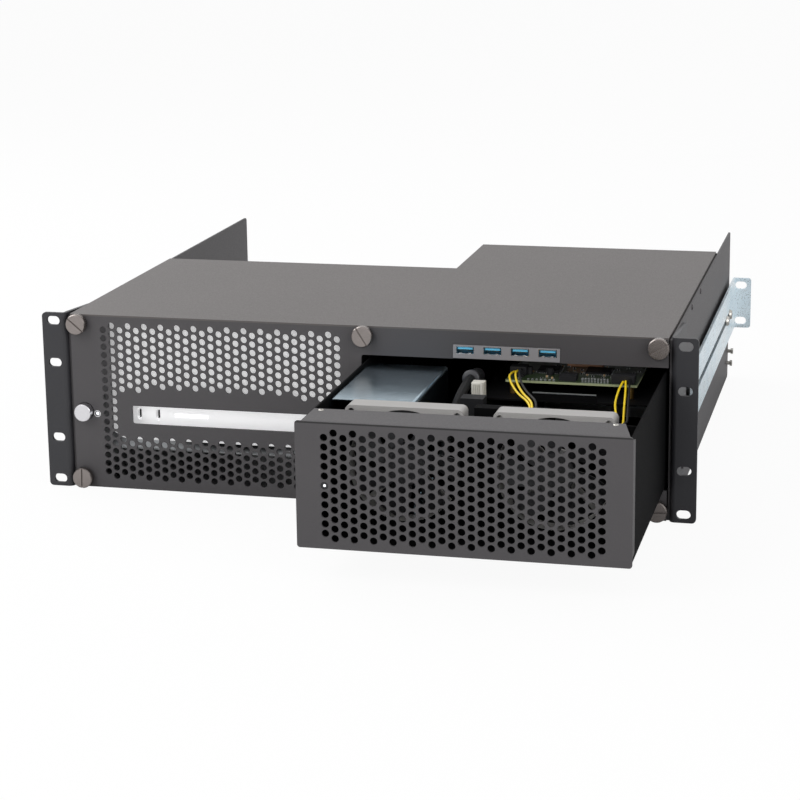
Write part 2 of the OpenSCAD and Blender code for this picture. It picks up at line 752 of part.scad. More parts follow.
module rear_bracket(s) {
    bar_x = side_out + bar_gap;
    color("#b8ccd4") placed() mirror_x(s) {
        sideways(bar_x, bar_t) difference() {
            translate([0, bar_z - bar_h/2]) round_rect([bar_y0, 0], [bar_y1 + bar_t, bar_h], bar_r);
            translate([bar_slot_y1 - bar_slot_l/2, bar_z]) slot_2d(bar_slot_l, bar_slot_w);
        }
        upright(bar_y1, bar_t) difference() {
            union() {
                round_rect([bar_x + 2*bar_r, bar_z - bar_h/2], [rack_w/2, bar_z + bar_h/2], bar_r);
                translate([bar_x, bar_z - bar_h/2]) square([4*bar_r, bar_h]);
            }
            for (z = [-1, 1]) translate([rack_hole_x, bar_z + z*rear_hole_rise/2])
                slot_2d(rack_slot_l, rack_slot_w);
        }
    }
}
module rear_bracket_left() { rear_bracket(-1); }
module rear_bracket_right() { rear_bracket(1); }

module bracket_spacers() {
    color("#8f979c") placed() for (s = [-1, 1], y = bar_screws) mirror_x(s)
        translate([side_out, y, bar_z]) rotate([0, 90, 0]) difference() {
            cylinder(r = spacer_r, h = bar_gap - seat_gap/3);
            translate([0, 0, -over]) cylinder(r = bar_screw_r, h = bar_gap + 2*over);
        }
}
module bracket_screws() {
    color("#9aa0a4") placed() for (s = [-1, 1], y = bar_screws) mirror_x(s)
        translate([side_in - sheet_t, y, bar_z]) rotate([0, 90, 0]) {
            cylinder(r = bar_screw_r - over/2, h = side_t + sheet_t + bar_gap + bar_t + seat_gap);
            translate([0, 0, side_t + sheet_t + bar_gap + bar_t + seat_gap/3]) difference() {
                cylinder(r1 = 4.4, r2 = 3.6, h = 2);
                translate([0, 0, 1]) cylinder(r = 1.6, h = 2, $fn = 6);
            }
        }
}
module side_studs() {
    color("#9a958f") placed() for (s = [-1, 1], p = [[side_len - 13, 24], [side_len - 5.5, 33]]) mirror_x(s)
        translate([side_out, p[0], p[1] - 9]) rotate([0, 90, 0]) {
            cylinder(r = 1.6, h = 5);
            translate([0, 0, 3]) cylinder(r = 2.6, h = 2, $fn = 6);
        }
}

// Sled

module slide_strips() {
    color("#e8e6df") placed() for (x = [tray_step_x + strip_w, tray_x1 - 2*strip_w])
        box([x, frame_y, sill_z], [x + strip_w, right_depth - 3*sheet_t, sill_z + strip_h]);
}

module sled_tray() {
    color("#1f1e20") on_sled() {
        // Floor with the step of its left side
        translate([0, 0, tray_z0]) linear_extrude(sheet_t) polygon([
            [tray_x0, face_t], [tray_x1, face_t], [tray_x1, sled_len],
            [tray_step_x, sled_len], [tray_step_x, sled_wide_len], [tray_x0, sled_wide_len]]);
        box([tray_x0, face_t, tray_z0], [tray_x0 + sheet_t, sled_wide_len, tray_top]);
        box([tray_x0, sled_wide_len - sheet_t, tray_z0], [tray_step_x + sheet_t, sled_wide_len, tray_top]);
        box([tray_step_x, sled_wide_len - sheet_t, tray_z0],
            [tray_step_x + sheet_t, sled_len - sheet_t, tray_top]);
        box([tray_x1 - sheet_t, face_t, tray_z0], [tray_x1, sled_len - sheet_t, tray_top]);
    }
}

module face_vents() {
    for (c = [0 : face_cols - 1], r = [0 : face_rows - 1 + c%2])
        translate([face_mid_x + (c - (face_cols - 1)/2)*face_pitch,
            face_mid_z + (r - (face_rows - 1)/2 - (c%2)/2)*face_pitch])
            circle(vent_d/2, $fn = 16);
}
module sled_face() {
    color("#4c494b") on_sled() upright(0, face_t) difference() {
        round_rect([face_x0, face_z0], [face_x1, face_z1], face_r);
        face_vents();
    }
}
module sled_return() {
    color("#4c494b") on_sled() sideways(tray_x1, face_x1 - tray_x1) polygon([
        [face_t, face_z0 + 6], [return_depth, face_z0 + 7.5], [return_depth, face_z1 - 3.5],
            [face_t, face_z1 - 2]]);
}
module sled_lip() {
    color("#4c494b") on_sled() difference() {
        // Its right end slants back, clear of the face's return
        translate([0, 0, tray_top]) linear_extrude(sheet_t) polygon([
            [lip_x0, face_t + seat_gap], [face_x1 - lip_short, face_t + seat_gap],
            [face_x1 - lip_short - lip_slant, face_t + lip_depth], [lip_x0, face_t + lip_depth]]);
        for (x = lip_screws_x) translate([x, lip_screw_y, tray_top - over])
            cylinder(r = lip_hole_r, h = sheet_t + 2*over);
    }
}
lip_short = 2.1;
lip_slant = 7.2;
lip_hole_r = 1.2;
lip_head_r = 1.9;
lip_screw_y = face_t + lip_depth - 2*lip_head_r;
lip_screws_x = [lip_x0 + 3*lip_head_r, face_x1 - lip_short - lip_slant - 3*lip_head_r];
module sled_screws() {
    color("#8e8a88") on_sled() for (x = lip_screws_x) translate([x, lip_screw_y, tray_top]) {
        cylinder(r = lip_hole_r - run_gap, h = sheet_t);
        translate([0, 0, sheet_t]) cylinder(r1 = lip_head_r, r2 = head_draft_share*lip_head_r,
            h = sheet_t/2);
    }
}
module status_light() {
    color("white") on_sled() translate([face_mid_x - (face_cols - 1)/2*face_pitch, 0.5, face_mid_z]) disc(vent_d/2 - 0.15, 6);
}

module fan_bracket() {
    color("#232224") on_sled() {
        upright(fan_y - sheet_t, sheet_t) difference() {
            translate([tray_x0 + sheet_t, tray_floor])
                square([tray_x1 - tray_x0 - 2*sheet_t, fan_bracket_h]);
            for (s = [-1, 1]) translate([fan_mid_x + s*fan_span/2, fan_mid_z]) circle(fan_bore_r, $fn = 72);
        }
        box([tray_x0 + sheet_t, fan_y - 12, tray_floor],
            [tray_x1 - sheet_t, fan_y, tray_floor + sheet_t/2]);
    }
}
module fan_frame(s) {
    color("#a9a7a5") on_sled() translate([fan_mid_x + s*fan_span/2, fan_y, fan_mid_z]) difference() {
        union() {
            upright(0, fan_t) difference() {
                round_rect([-fan_size/2, -fan_size/2], [fan_size/2, fan_size/2], fan_corner);
                circle(fan_bore_r, $fn = 72);
                for (x = [-1, 1], z = [-1, 1]) translate([x*fan_hole_at, z*fan_hole_at]) circle(fan_hole_r);
            }
            upright(fan_t - fan_strut, fan_strut) {
                circle(fan_hub_r);
                for (a = [45 : 90 : 315]) rotate(a) translate([fan_hub_r - over, -fan_strut])
                    square([fan_bore_r - fan_hub_r + 2*over, 2*fan_strut]);
            }
        }
        // Side pockets between the two flanges
        for (a = [90 : 90 : 270]) rotate([0, a, 0]) translate([0, fan_t/2, fan_size/2])
            cube([fan_size - 4*fan_corner, fan_t - 4*fan_strut, 2*over], center = true);
        translate([0, fan_t - 2*fan_strut, 0]) disc(fan_pin_r + run_gap, 3*fan_strut);
    }
}
module fan_frame_left() { fan_frame(-1); }
module fan_frame_right() { fan_frame(1); }

function on_arc(r, a) = [r*cos(a), r*sin(a)];
function blade_lead(share) = -22 + 26*share;
module blade_2d() {
    // Seen from the front: both edges sweep forwards from the hub to the tip
    root_r = fan_hub_r - over;
    steps = 5;
    polygon(concat(
        [for (k = [0 : steps]) on_arc(root_r + (fan_blade_r - root_r)*k/steps, blade_lead(k/steps))],
        [for (k = [1 : steps]) on_arc(fan_blade_r, blade_lead(1) + blade_width*k/steps)],
        [for (k = [steps - 1 : -1 : 0])
            on_arc(root_r + (fan_blade_r - root_r)*k/steps, blade_lead(k/steps) + blade_width)]));
}
module fan_rotor(s) {
    rotor_t = fan_t - 2*fan_strut - over;
    color("#b4b2b0") on_sled() translate([fan_mid_x + s*fan_span/2, fan_y + over, fan_mid_z]) rotate([-90, 0, 0]) {
        difference() {
            cylinder(r = fan_hub_r, h = rotor_t);
            translate([0, 0, -over]) cylinder(r = fan_hub_r*0.75, h = over + seat_gap);
        }
        cylinder(r = fan_pin_r, h = fan_t - over - fan_strut/4);
        for (k = [0 : fan_blades - 1]) rotate((k + 0.2*s)*360/fan_blades) intersection() {
            linear_extrude(rotor_t) blade_2d();
            translate([0, 0, rotor_t/2]) rotate(blade_width/4) rotate([blade_pitch, 0, 0])
                cube([2*fan_size, fan_size, blade_t], center = true);
        }
    }
}
module fan_rotor_left() { fan_rotor(-1); }
module fan_rotor_right() { fan_rotor(1); }

// Vents in the supply's rear: rows, columns and hole radius
psu_vent_cols = 6;
psu_vent_rows = 8;
psu_vent_r = 2.5;
module psu_case() {
    a = [psu_x0, psu_z0];
    b = [psu_x0 + psu_w, psu_z0 + psu_h];
    color("#9fb0b8") on_sled() {
        upright(psu_y0, psu_l) difference() {
            round_rect(a, b, psu_r);
            round_rect(a + [psu_wall, psu_wall], b - [psu_wall, psu_wall], psu_r - psu_wall);
        }
        upright(psu_y0 + psu_l - psu_wall, psu_wall) difference() {
            round_rect(a, b, psu_r);
            for (x = [1 : psu_vent_cols], z = [1 : psu_vent_rows])
                translate([a[0] + x*psu_w/(psu_vent_cols + 1), a[1] + z*psu_h/(psu_vent_rows + 1)])
                    circle(psu_vent_r, $fn = 16);
        }
    }
}
// Inside the supply: its board, the two blocks on it (start and end of each, shares of the height) and the cans
psu_board_t = 4;
psu_board_in = 4;
psu_block_in = 8;
psu_block_a = [22, 60];
psu_block_b = [12, 80];
psu_block_shares = [0.7, 0.6];
psu_can_r = 7;
psu_cans_y = [74, 90];
module psu_parts() {
    color("#1b1b1d") on_sled() translate([psu_x0, psu_y0, psu_z0]) {
        box([2*psu_wall, psu_board_in, psu_wall], [psu_w - 2*psu_wall, psu_l - psu_board_in, psu_board_t]);
        box([psu_block_in, psu_block_a[0], psu_board_t],
            [psu_w/2, psu_block_a[1], psu_h*psu_block_shares[0]]);
        box([psu_w/2 + psu_block_in/2, psu_block_b[0], psu_board_t],
            [psu_w - psu_block_in, psu_block_b[1], psu_h*psu_block_shares[1]]);
        for (y = psu_cans_y) translate([psu_w/4, y, psu_board_t]) cylinder(r = psu_can_r, h = psu_h/2);
    }
}

module backplane() {
    color("#20402c") on_sled() box([plane_x, plane_y0, tray_floor], [plane_x + plane_t, plane_y1, tray_floor + plane_h]);
}
// Opening in a card slot: its half width, end walls, and the shares where the key stands
slot_half = 0.9;
slot_end = 2;
slot_key_shares = [0.14, 0.17];
module card_slots() {
    color("#19191b") on_sled() for (k = [0, 1])
        translate([plane_x + plane_t, card_slot_y, card_z + k*card_pitch]) difference() {
            box([0, 0, -card_slot_w/2], [card_slot_h, card_slot_l, card_slot_w/2]);
            box([card_slot_h/4, slot_end, -slot_half],
                [card_slot_h + over, card_slot_l*slot_key_shares[0], slot_half]);
            box([card_slot_h/4, card_slot_l*slot_key_shares[1], -slot_half],
                [card_slot_h + over, card_slot_l - slot_end, slot_half]);
        }
}
module board_tray() {
    edge_x = plane_x + plane_t;
    color("#232224") on_sled() {
        // Flat sheet over the cards, folded up on the left and held on the right wall
        box([edge_x, board_tray_y, board_tray_z], [tray_x1 - sheet_t, plane_y1, board_tray_z + sheet_t]);
        box([tray_x1 - 2*sheet_t, board_tray_y, board_tray_z - board_tray_lip],
            [tray_x1 - sheet_t, plane_y1, board_tray_z]);
        box([plane_x - sheet_t, board_tray_y, tray_floor], [plane_x, plane_y1, board_tray_z + sheet_t]);
        box([plane_x, board_tray_y, tray_floor + plane_h], [edge_x, plane_y1, board_tray_z + sheet_t]);
    }
}
// Folded plate that steers the air between the fans and the cards
module air_guide() {
    guide_y = fan_y + fan_t + guide_gap;
    color("#262527") on_sled() {
        box([guide_x0, guide_y, tray_floor], [guide_x1, guide_y + sheet_t, guide_z]);
        box([guide_x0, guide_y + sheet_t, guide_z - sheet_t], [guide_x1, guide_y + guide_fold, guide_z]);
    }
}
module board_standoffs() {
    color("#b8913c") on_sled() for (x = [board_x0 + 2*standoff_r, board_x1 - 2*standoff_r],
            y = [board_y0 + 2*standoff_r, board_y0 + board_l - 2*standoff_r])
        translate([x, y, board_tray_z + sheet_t]) cylinder(r = standoff_r,
            h = board_z - board_tray_z - sheet_t);
}
module carrier_board() {
    color("#2f6b45") on_sled() box([board_x0, board_y0, board_z], [board_x1, board_y0 + board_l, board_z + board_t]);
}
// Parts on the carrier board: left, front, right, rear and height of each, from the board's corner
board_chips = [[37, 3, 49, 14, 3.6], [5, 8, 11, 13, 2], [18, 24, 34, 40, 1.6], [52, 26, 70, 42, 1.6]];
board_sockets = [[74, 2, 90, 12, 5.5], [0.5, 14, 12, 24, 6]];
// Two rows of leads: first lead's corner, pitch, size and last number
board_leads = [[[53, 3], 2.2, [1.2, 3, 2.6], 8], [[15, 1.5], 3, [1.4, 1.3, 1], 6]];
// Two cans: places across, place along, radius and height
board_cans_x = [13, 28];
board_can_y = 20;
board_can_r = 2.6;
board_can_h = 5;
// Power header on the backplane's edge: reach to the left and right, start, end and height
header_left = 6;
header_right = 10;
header_y = [4, 16];
header_h = 12;
module board_block(b) { box([b[0], b[1], 0], [b[2], b[3], b[4]]); }
module board_parts() {
    color("#26262a") on_sled() translate([board_x0, board_y0, board_z + board_t]) {
        for (b = board_chips) board_block(b);
        for (row = board_leads, k = [0 : row[3]]) translate([row[0][0] + row[1]*k, row[0][1], 0])
            box([0, 0, 0], row[2]);
        for (x = board_cans_x) translate([x, board_can_y, 0]) cylinder(r = board_can_r, h = board_can_h);
    }
    color("#17171a") on_sled() {
        translate([board_x0, board_y0, board_z + board_t]) for (b = board_sockets) board_block(b);
        // Power headers on the backplane's top edge
        box([plane_x - header_left, plane_y0 + header_y[0], tray_floor + plane_h],
            [plane_x + header_right, plane_y0 + header_y[1], tray_floor + plane_h + header_h]);
        translate([supply_plug[0], supply_plug[1], supply_plug[2]]) rotate([82, 0, 0])
            cylinder(r = plug_r, h = plug_l);
    }
}
module slot_covers() {
    color("#8d959a") on_sled() for (k = [0, 1])
        box([plane_x + 16 - 4, sled_len, card_z + k*card_pitch - cover_slot_h/2 - 2],
            [plane_x + 16 + cover_slot_w, sled_len + 0.9, card_z + k*card_pitch + cover_slot_h/2 + 2]);
}
module sled_rear_panel() {
    color("#2a292b") on_sled() upright(sled_len - sheet_t, sheet_t) difference() {
        translate([tray_step_x, tray_floor]) square([tray_x1 - tray_step_x, tray_top - tray_floor]);
        for (k = [0, 1]) translate([plane_x + 16, card_z + k*card_pitch - cover_slot_h/2])
            square([cover_slot_w - 4, cover_slot_h]);
        translate([inlet_x - inlet_w/2, inlet_z - inlet_h/2]) square([inlet_w, inlet_h]);
        for (x = [118, 136]) translate([x, board_tray_z + 4]) slot_2d(9, 3.4);
    }
}
module inlet_socket() {
    color("#151517") on_sled() difference() {
        union() {
            box([inlet_x - inlet_w/2, sled_len - 24, inlet_z - inlet_h/2],
                [inlet_x + inlet_w/2, sled_len, inlet_z + inlet_h/2]);
            box([inlet_x - inlet_w/2 - 2.5, sled_len, inlet_z - inlet_h/2 - 2.5],
                [inlet_x + inlet_w/2 + 2.5, sled_len + 2, inlet_z + inlet_h/2 + 2.5]);
        }
        upright(sled_len - 16, 20) polygon([
            [inlet_x - 11.5, inlet_z - 7.5], [inlet_x + 11.5, inlet_z - 7.5],
                [inlet_x + 11.5, inlet_z + 3.5],
            [inlet_x + 7.5, inlet_z + 7.5], [inlet_x - 7.5, inlet_z + 7.5],
                [inlet_x - 11.5, inlet_z + 3.5]]);
    }
}

// Leads inside the sled, each held at both ends
supply_plug = [84, 182, 97];
plug_r = 5.5;
plug_l = 24;
supply_route = [[84, 157.7, 100.4], [83.5, 148, 99], [82, 138, 95], [80, 128, 88], [78.5, 119, 79],
    [77.5, 110, 68], [76, 103, 57], [72, 99, 50], [65.4, 98, 48]];
module supply_cable() { color("#1a1a1c") on_sled() tube(supply_route, 7, 3, 10); }
lead_routes = [
    [[114, 176.8, 103], [115, 165, 105], [118, 148, 106], [124, 125, 106], [132, 102, 106], [140, 84, 106],
        [143, 74, 104.5], [144, 67.4, 101]],
    [[192, 164.8, 102], [194, 150, 99], [196, 130, 94], [199, 105, 92], [201, 85, 93], [198, 67.4, 95]]];
lead_shift = [2.6, 0, 1.2];
module fan_leads_yellow() { color("#e8c81e") on_sled() for (r = lead_routes) tube(r, 1.6, 3, 8); }
module fan_leads_black() { color("#161618") on_sled() for (r = lead_routes) tube([for (p = r) p + lead_shift], 1.6, 3, 8); }

base_pan();
side_plate_left();
side_plate_right();
bay_divider();
bay_floor();
rear_frame();
top_cover();
front_grille();
front_bay_frame();
rack_ear_left();
rack_ear_right();
side_screws();
bracket_spacers();
bracket_screws();
side_studs();
slide_strips();
host_shelf();
host_base();
host_housing();
host_tongues();
usb_plate();
usb_shells();
usb_tongues();
usb_board();
power_switch();
power_button();
thumbscrew_top_left();
thumbscrew_top_middle();
thumbscrew_top_right();
thumbscrew_bottom_left();
thumbscrew_bottom_middle();
thumbscrew_bottom_right();
rear_bracket_left();
rear_bracket_right();
sled_tray();
sled_face();
sled_return();
sled_lip();
sled_rear_panel();
sled_screws();
status_light();
fan_bracket();
fan_frame_left();
fan_frame_right();
fan_rotor_left();
fan_rotor_right();
psu_case();
psu_parts();
backplane();
card_slots();
board_tray();
board_standoffs();
air_guide();
carrier_board();
board_parts();
slot_covers();
inlet_socket();
supply_cable();
fan_leads_yellow();
fan_leads_black();
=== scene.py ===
"""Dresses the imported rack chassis: its finishes, small hardware, circuit boards and wiring."""

import logging
import math
import random
from dataclasses import dataclass, field
from enum import Enum

import bmesh
import bpy
from mathutils import Matrix, Vector


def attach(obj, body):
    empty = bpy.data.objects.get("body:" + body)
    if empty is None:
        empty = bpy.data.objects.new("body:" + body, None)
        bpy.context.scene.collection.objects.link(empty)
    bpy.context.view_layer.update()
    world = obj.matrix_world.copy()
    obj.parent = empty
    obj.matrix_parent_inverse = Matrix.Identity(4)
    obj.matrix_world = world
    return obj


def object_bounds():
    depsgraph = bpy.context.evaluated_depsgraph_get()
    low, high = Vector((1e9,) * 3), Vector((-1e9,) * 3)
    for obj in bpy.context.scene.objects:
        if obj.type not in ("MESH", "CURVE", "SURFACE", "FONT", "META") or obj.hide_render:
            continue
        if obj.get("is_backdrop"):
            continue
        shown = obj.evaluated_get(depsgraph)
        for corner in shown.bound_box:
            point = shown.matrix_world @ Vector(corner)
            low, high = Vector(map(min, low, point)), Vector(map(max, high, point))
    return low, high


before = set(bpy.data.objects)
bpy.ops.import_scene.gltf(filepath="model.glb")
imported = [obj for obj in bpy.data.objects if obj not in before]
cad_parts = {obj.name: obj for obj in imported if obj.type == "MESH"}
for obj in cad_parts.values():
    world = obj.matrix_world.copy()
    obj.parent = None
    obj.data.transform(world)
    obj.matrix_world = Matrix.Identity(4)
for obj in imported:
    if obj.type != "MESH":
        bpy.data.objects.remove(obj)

MM = 0.001
LOG = logging.getLogger("chassis")

FORWARD = (0.0, -1.0, 0.0)

Point = tuple[float, float, float] | Vector
Pair = tuple[float, float]
Profile = tuple[Pair, ...]
Box = tuple[Vector, Vector]
Piece = bpy.types.Object
Socket = bpy.types.NodeSocket


def linear(colour: str) -> tuple[float, float, float, float]:
    """Turns an sRGB hex colour into linear red, green, blue and alpha.

    Args:
        colour: Six hex digits, with or without a leading hash.

    Returns:
        The linear colour with alpha 1.
    """
    digits = colour.lstrip("#")
    parts = [int(digits[i:i + 2], 16) / 255 for i in (0, 2, 4)]
    flat = [p / 12.92 if p <= 0.04045 else ((p + 0.055) / 1.055) ** 2.4 for p in parts]
    return flat[0], flat[1], flat[2], 1.0


def per_mm(size: float) -> float:
    """Gives the texture scale, in repeats per metre, of a pattern that is this many mm wide."""
    return 1 / (size * MM)


def add_node(tree: bpy.types.NodeTree, kind: str, values: dict | None = None,
             links: dict | None = None, **settings: object) -> bpy.types.Node:
    """Adds a shader node with its settings, socket values and links.

    Args:
        tree: The node tree that takes it.
        kind: The node's type, without Blender's ShaderNode in front.
        values: Socket values, by socket name or number.
        links: Output sockets that feed the node, by socket name or number.
        settings: The node's own properties.

    Returns:
        The new node.
    """
    node = tree.nodes.new("ShaderNode" + kind)
    for name, value in settings.items():
        setattr(node, name, value)
    for socket, value in (values or {}).items():
        node.inputs[socket].default_value = value
    for socket, output in (links or {}).items():
        tree.links.new(output, node.inputs[socket])
    return node


class Grain(Enum):
    """Which way a worked surface is drawn out."""

    NONE = (1.0, 1.0, 1.0)
    ALONG_Y = (1.0, 0.03, 1.0)


class Axis(Enum):
    """The axis that a row of screws lies along."""

    X = 0
    Z = 2


@dataclass
class Paint:
    """A material on the bench: its node tree, its shader and where its patterns start from."""

    tree: bpy.types.NodeTree
    shader: bpy.types.Node
    place: Socket


@dataclass(frozen=True)
class Finish:
    """A surface as it leaves the workshop, with the values that all finishes share.

    In mm, edge is how far its edges are broken, grit the width of its relief's blotches and depth
    their height. strength is how much of the relief shows, and spread how far the roughness wanders
    to each side.
    """

    name: str
    colour: str
    roughness: float
    metallic: float = 0.0
    ior: float = 1.5
    edge: float = 0.25
    grit: float = 0.6
    depth: float = 0.05
    strength: float = 0.05
    spread: float = 0.0

    def material(self) -> bpy.types.Material:
        """Builds the material, or finds the one that was built before.

        Returns:
            The material of this finish.
        """
        label = self.name + "_finish"
        made = bpy.data.materials.get(label)
        if made is None:
            made = bpy.data.materials.new(label)
            made.use_nodes = True
            tree = made.node_tree
            shader = tree.nodes["Principled BSDF"]
            shader.inputs["Base Color"].default_value = linear(self.colour)
            shader.inputs["Roughness"].default_value = self.roughness
            shader.inputs["Metallic"].default_value = self.metallic
            shader.inputs["IOR"].default_value = self.ior
            place = add_node(tree, "TexCoord").outputs["Object"]
            self.detail(Paint(tree, shader, place))
            made.diffuse_color = linear(self.colour)
        return made

    def detail(self, paint: Paint) -> None:
        """Adds the finish's own pattern: here a faint moulded grain."""
        self.relief(paint, self.noise(paint, self.grit))

    def noise(self, paint: Paint, size: float, grain: Grain = Grain.NONE,
              fine: float = 2.0) -> Socket:
        """Adds a noise whose blotches are this many mm wide.

        Args:
            paint: The material.
            size: Width of a blotch in mm.
            grain: The way that it is drawn out.
            fine: How much finer detail it holds.

        Returns:
            The noise from 0 to 1.
        """
        stretch = add_node(paint.tree, "Mapping", {"Scale": grain.value}, {"Vector": paint.place})
        spots = add_node(paint.tree, "TexNoise", {"Scale": per_mm(size), "Detail": fine},
                         {"Vector": stretch.outputs["Vector"]})
        return spots.outputs["Fac"]

    def vary(self, paint: Paint, pattern: Socket, other: str, amount: float) -> None:
        """Mixes the base colour towards another where the pattern is high.

        Args:
            paint: The material.
            pattern: The pattern from 0 to 1.
            other: The other colour, as sRGB hex.
            amount: The largest share of the other colour.
        """
        level = add_node(paint.tree, "MapRange", {"From Min": 0.35, "From Max": 0.65, "To Max": amount},
                         {"Value": pattern})
        mixed = add_node(paint.tree, "MixRGB", {"Color1": linear(self.colour), "Color2": linear(other)},
                         {"Fac": level.outputs["Result"]})
        paint.tree.links.new(mixed.outputs["Color"], paint.shader.inputs["Base Color"])

    def gloss(self, paint: Paint, pattern: Socket) -> None:
        """Lets the roughness wander with the pattern, by the finish's spread.

        Args:
            paint: The material.
            pattern: The pattern from 0 to 1.
        """
        smoothest = max(self.roughness - self.spread, 0.03)
        level = add_node(paint.tree, "MapRange", {"From Min": 0.3, "From Max": 0.7, "To Min": smoothest,
                                                  "To Max": self.roughness + self.spread}, {"Value": pattern})
        paint.tree.links.new(level.outputs["Result"], paint.shader.inputs["Roughness"])

    def relief(self, paint: Paint, height: Socket) -> None:
        """Raises the surface by a pattern, and breaks its edges.

        Args:
            paint: The material.
            height: The pattern from 0 to 1.
        """
        soft = add_node(paint.tree, "Bevel", {"Radius": self.edge * MM}, samples=4)
        bump = add_node(paint.tree, "Bump", {"Strength": self.strength, "Distance": self.depth * MM},
                        {"Height": height, "Normal": soft.outputs["Normal"]})
        paint.tree.links.new(bump.outputs["Normal"], paint.shader.inputs["Normal"])


@dataclass(frozen=True)
class PowderCoat(Finish):
    """Baked powder on sheet steel: an even, slightly pebbled skin."""

    grit: float = 0.9
    depth: float = 0.06
    strength: float = 0.22
    spread: float = 0.05
    lighter: str = "#56524f"
    drift: float = 90.0
    drift_share: float = 0.35

    def detail(self, paint: Paint) -> None:
        """Adds pebbles of under a millimetre, and a slow drift of tone over the sheet.

        Args:
            paint: The material.
        """
        self.vary(paint, self.noise(paint, self.drift, fine=4), self.lighter, self.drift_share)
        pebbles = self.noise(paint, self.grit, fine=1)
        self.gloss(paint, pebbles)
        self.relief(paint, pebbles)


@dataclass(frozen=True)
class GapShadedCoat(PowderCoat):
    """Powder coat with a near black line along it at a set height: painted shade in the open joint under the
    lip.
    """

    # The line's near black colour is painted shade in the open joint, under the lip that overhangs the face.
    gap_shade: str = "#0c0b0c"
    gap_shade_z: float = 40.95
    gap_shade_half: float = 0.5

    def detail(self, paint: Paint) -> None:
        """Adds the coat's own pattern, then mixes the painted shade line over its colour.

        Args:
            paint: The material.
        """
        super().detail(paint)
        height = add_node(paint.tree, "SeparateXYZ", {}, {"Vector": paint.place}).outputs["Z"]
        # Where the height is at the line, the painted shade takes the place of the coat's colour.
        line = add_node(paint.tree, "Math", {1: self.gap_shade_z * MM, 2: self.gap_shade_half * MM}, {0: height},
                        operation="COMPARE")
        coat = paint.shader.inputs["Base Color"].links[0].from_socket
        mixed = add_node(paint.tree, "MixRGB", {"Color2": linear(self.gap_shade)},
                         {"Fac": line.outputs["Value"], "Color1": coat})
        paint.tree.links.new(mixed.outputs["Color"], paint.shader.inputs["Base Color"])


@dataclass(frozen=True)
class PlatedSteel(Finish):
    """Plated cold-rolled steel: metal with a drawn grain and a cloudy tint."""

    grit: float = 0.7
    depth: float = 0.03
    strength: float = 0.12
    spread: float = 0.09
    grain: Grain = Grain.ALONG_Y
    cloud: str = "#c9d3d8"
    cloud_size: float = 35.0
    cloud_share: float = 0.8

    def detail(self, paint: Paint) -> None:
        """Adds clouds in the passivation, and rolling marks along the sheet.

        Args:
            paint: The material.
        """
        self.vary(paint, self.noise(paint, self.cloud_size, fine=5), self.cloud, self.cloud_share)
        marks = self.noise(paint, self.grit, self.grain, fine=3)
        self.gloss(paint, marks)
        self.relief(paint, marks)


@dataclass(frozen=True)
class Galvanised(Finish):
    """Hot-dipped steel: soft spangles that catch the light at their own angles."""

    spread: float = 0.02
    spangle: float = 9.0
    spangle_tone: str = "#8fa0aa"
    spangle_share: float = 0.4

    def detail(self, paint: Paint) -> None:
        """Adds crystals of a few millimetres to the tone and the roughness.

        Args:
            paint: The material.
        """
        cells = add_node(paint.tree, "TexVoronoi", {"Scale": per_mm(self.spangle)}, {"Vector": paint.place})
        tone = add_node(paint.tree, "RGBToBW", {}, {"Color": cells.outputs["Color"]}).outputs["Val"]
        self.vary(paint, tone, self.spangle_tone, self.spangle_share)
        self.gloss(paint, tone)


@dataclass(frozen=True)
class Turned(Finish):
    """Metal faced on a lathe, with rings about the middle of its face. ring is a share of the face."""

    depth: float = 0.02
    strength: float = 0.25
    spread: float = 0.06
    ring: float = 0.012

    def detail(self, paint: Paint) -> None:
        """Adds tool rings, laid out in the piece's own box so that each turned face has its centre.

        Args:
            paint: The material.
        """
        tree = paint.tree
        own = add_node(tree, "TexCoord").outputs["Generated"]
        centred = add_node(tree, "VectorMath", {1: (0.5, 0.5, 0.5)}, {0: own}, operation="SUBTRACT")
        flat = add_node(tree, "VectorMath", {1: (1.0, 0.0, 1.0)}, {0: centred.outputs["Vector"]},
                        operation="MULTIPLY")
        radius = add_node(tree, "VectorMath", {}, {0: flat.outputs["Vector"]}, operation="LENGTH")
        wave = add_node(tree, "Math", {1: 2 * math.pi / self.ring}, {0: radius.outputs["Value"]},
                        operation="MULTIPLY")
        rings = add_node(tree, "Math", {}, {0: wave.outputs["Value"]}, operation="SINE")
        level = add_node(tree, "MapRange", {"From Min": -1.0, "From Max": 1.0},
                         {"Value": rings.outputs["Value"]})
        self.gloss(paint, level.outputs["Result"])
        self.relief(paint, level.outputs["Result"])


@dataclass(frozen=True)
class Blasted(Finish):
    """Aluminium blasted with fine beads and anodised: an even, silky frost, with a faint glow of painted
    light.
    """

    grit: float = 0.35
    depth: float = 0.02
    strength: float = 0.12
    painted_glow: float = 0.4

    def detail(self, paint: Paint) -> None:
        """Adds bead marks, drawn coarse enough to show, and a faint glow in the base colour: painted light on
        the housing, which sits in a shaded bay.

        Args:
            paint: The material.
        """
        # The glow is painted light: the housing is no lamp.
        paint.shader.inputs["Emission Color"].default_value = linear(self.colour)
        paint.shader.inputs["Emission Strength"].default_value = self.painted_glow
        self.relief(paint, self.noise(paint, self.grit))


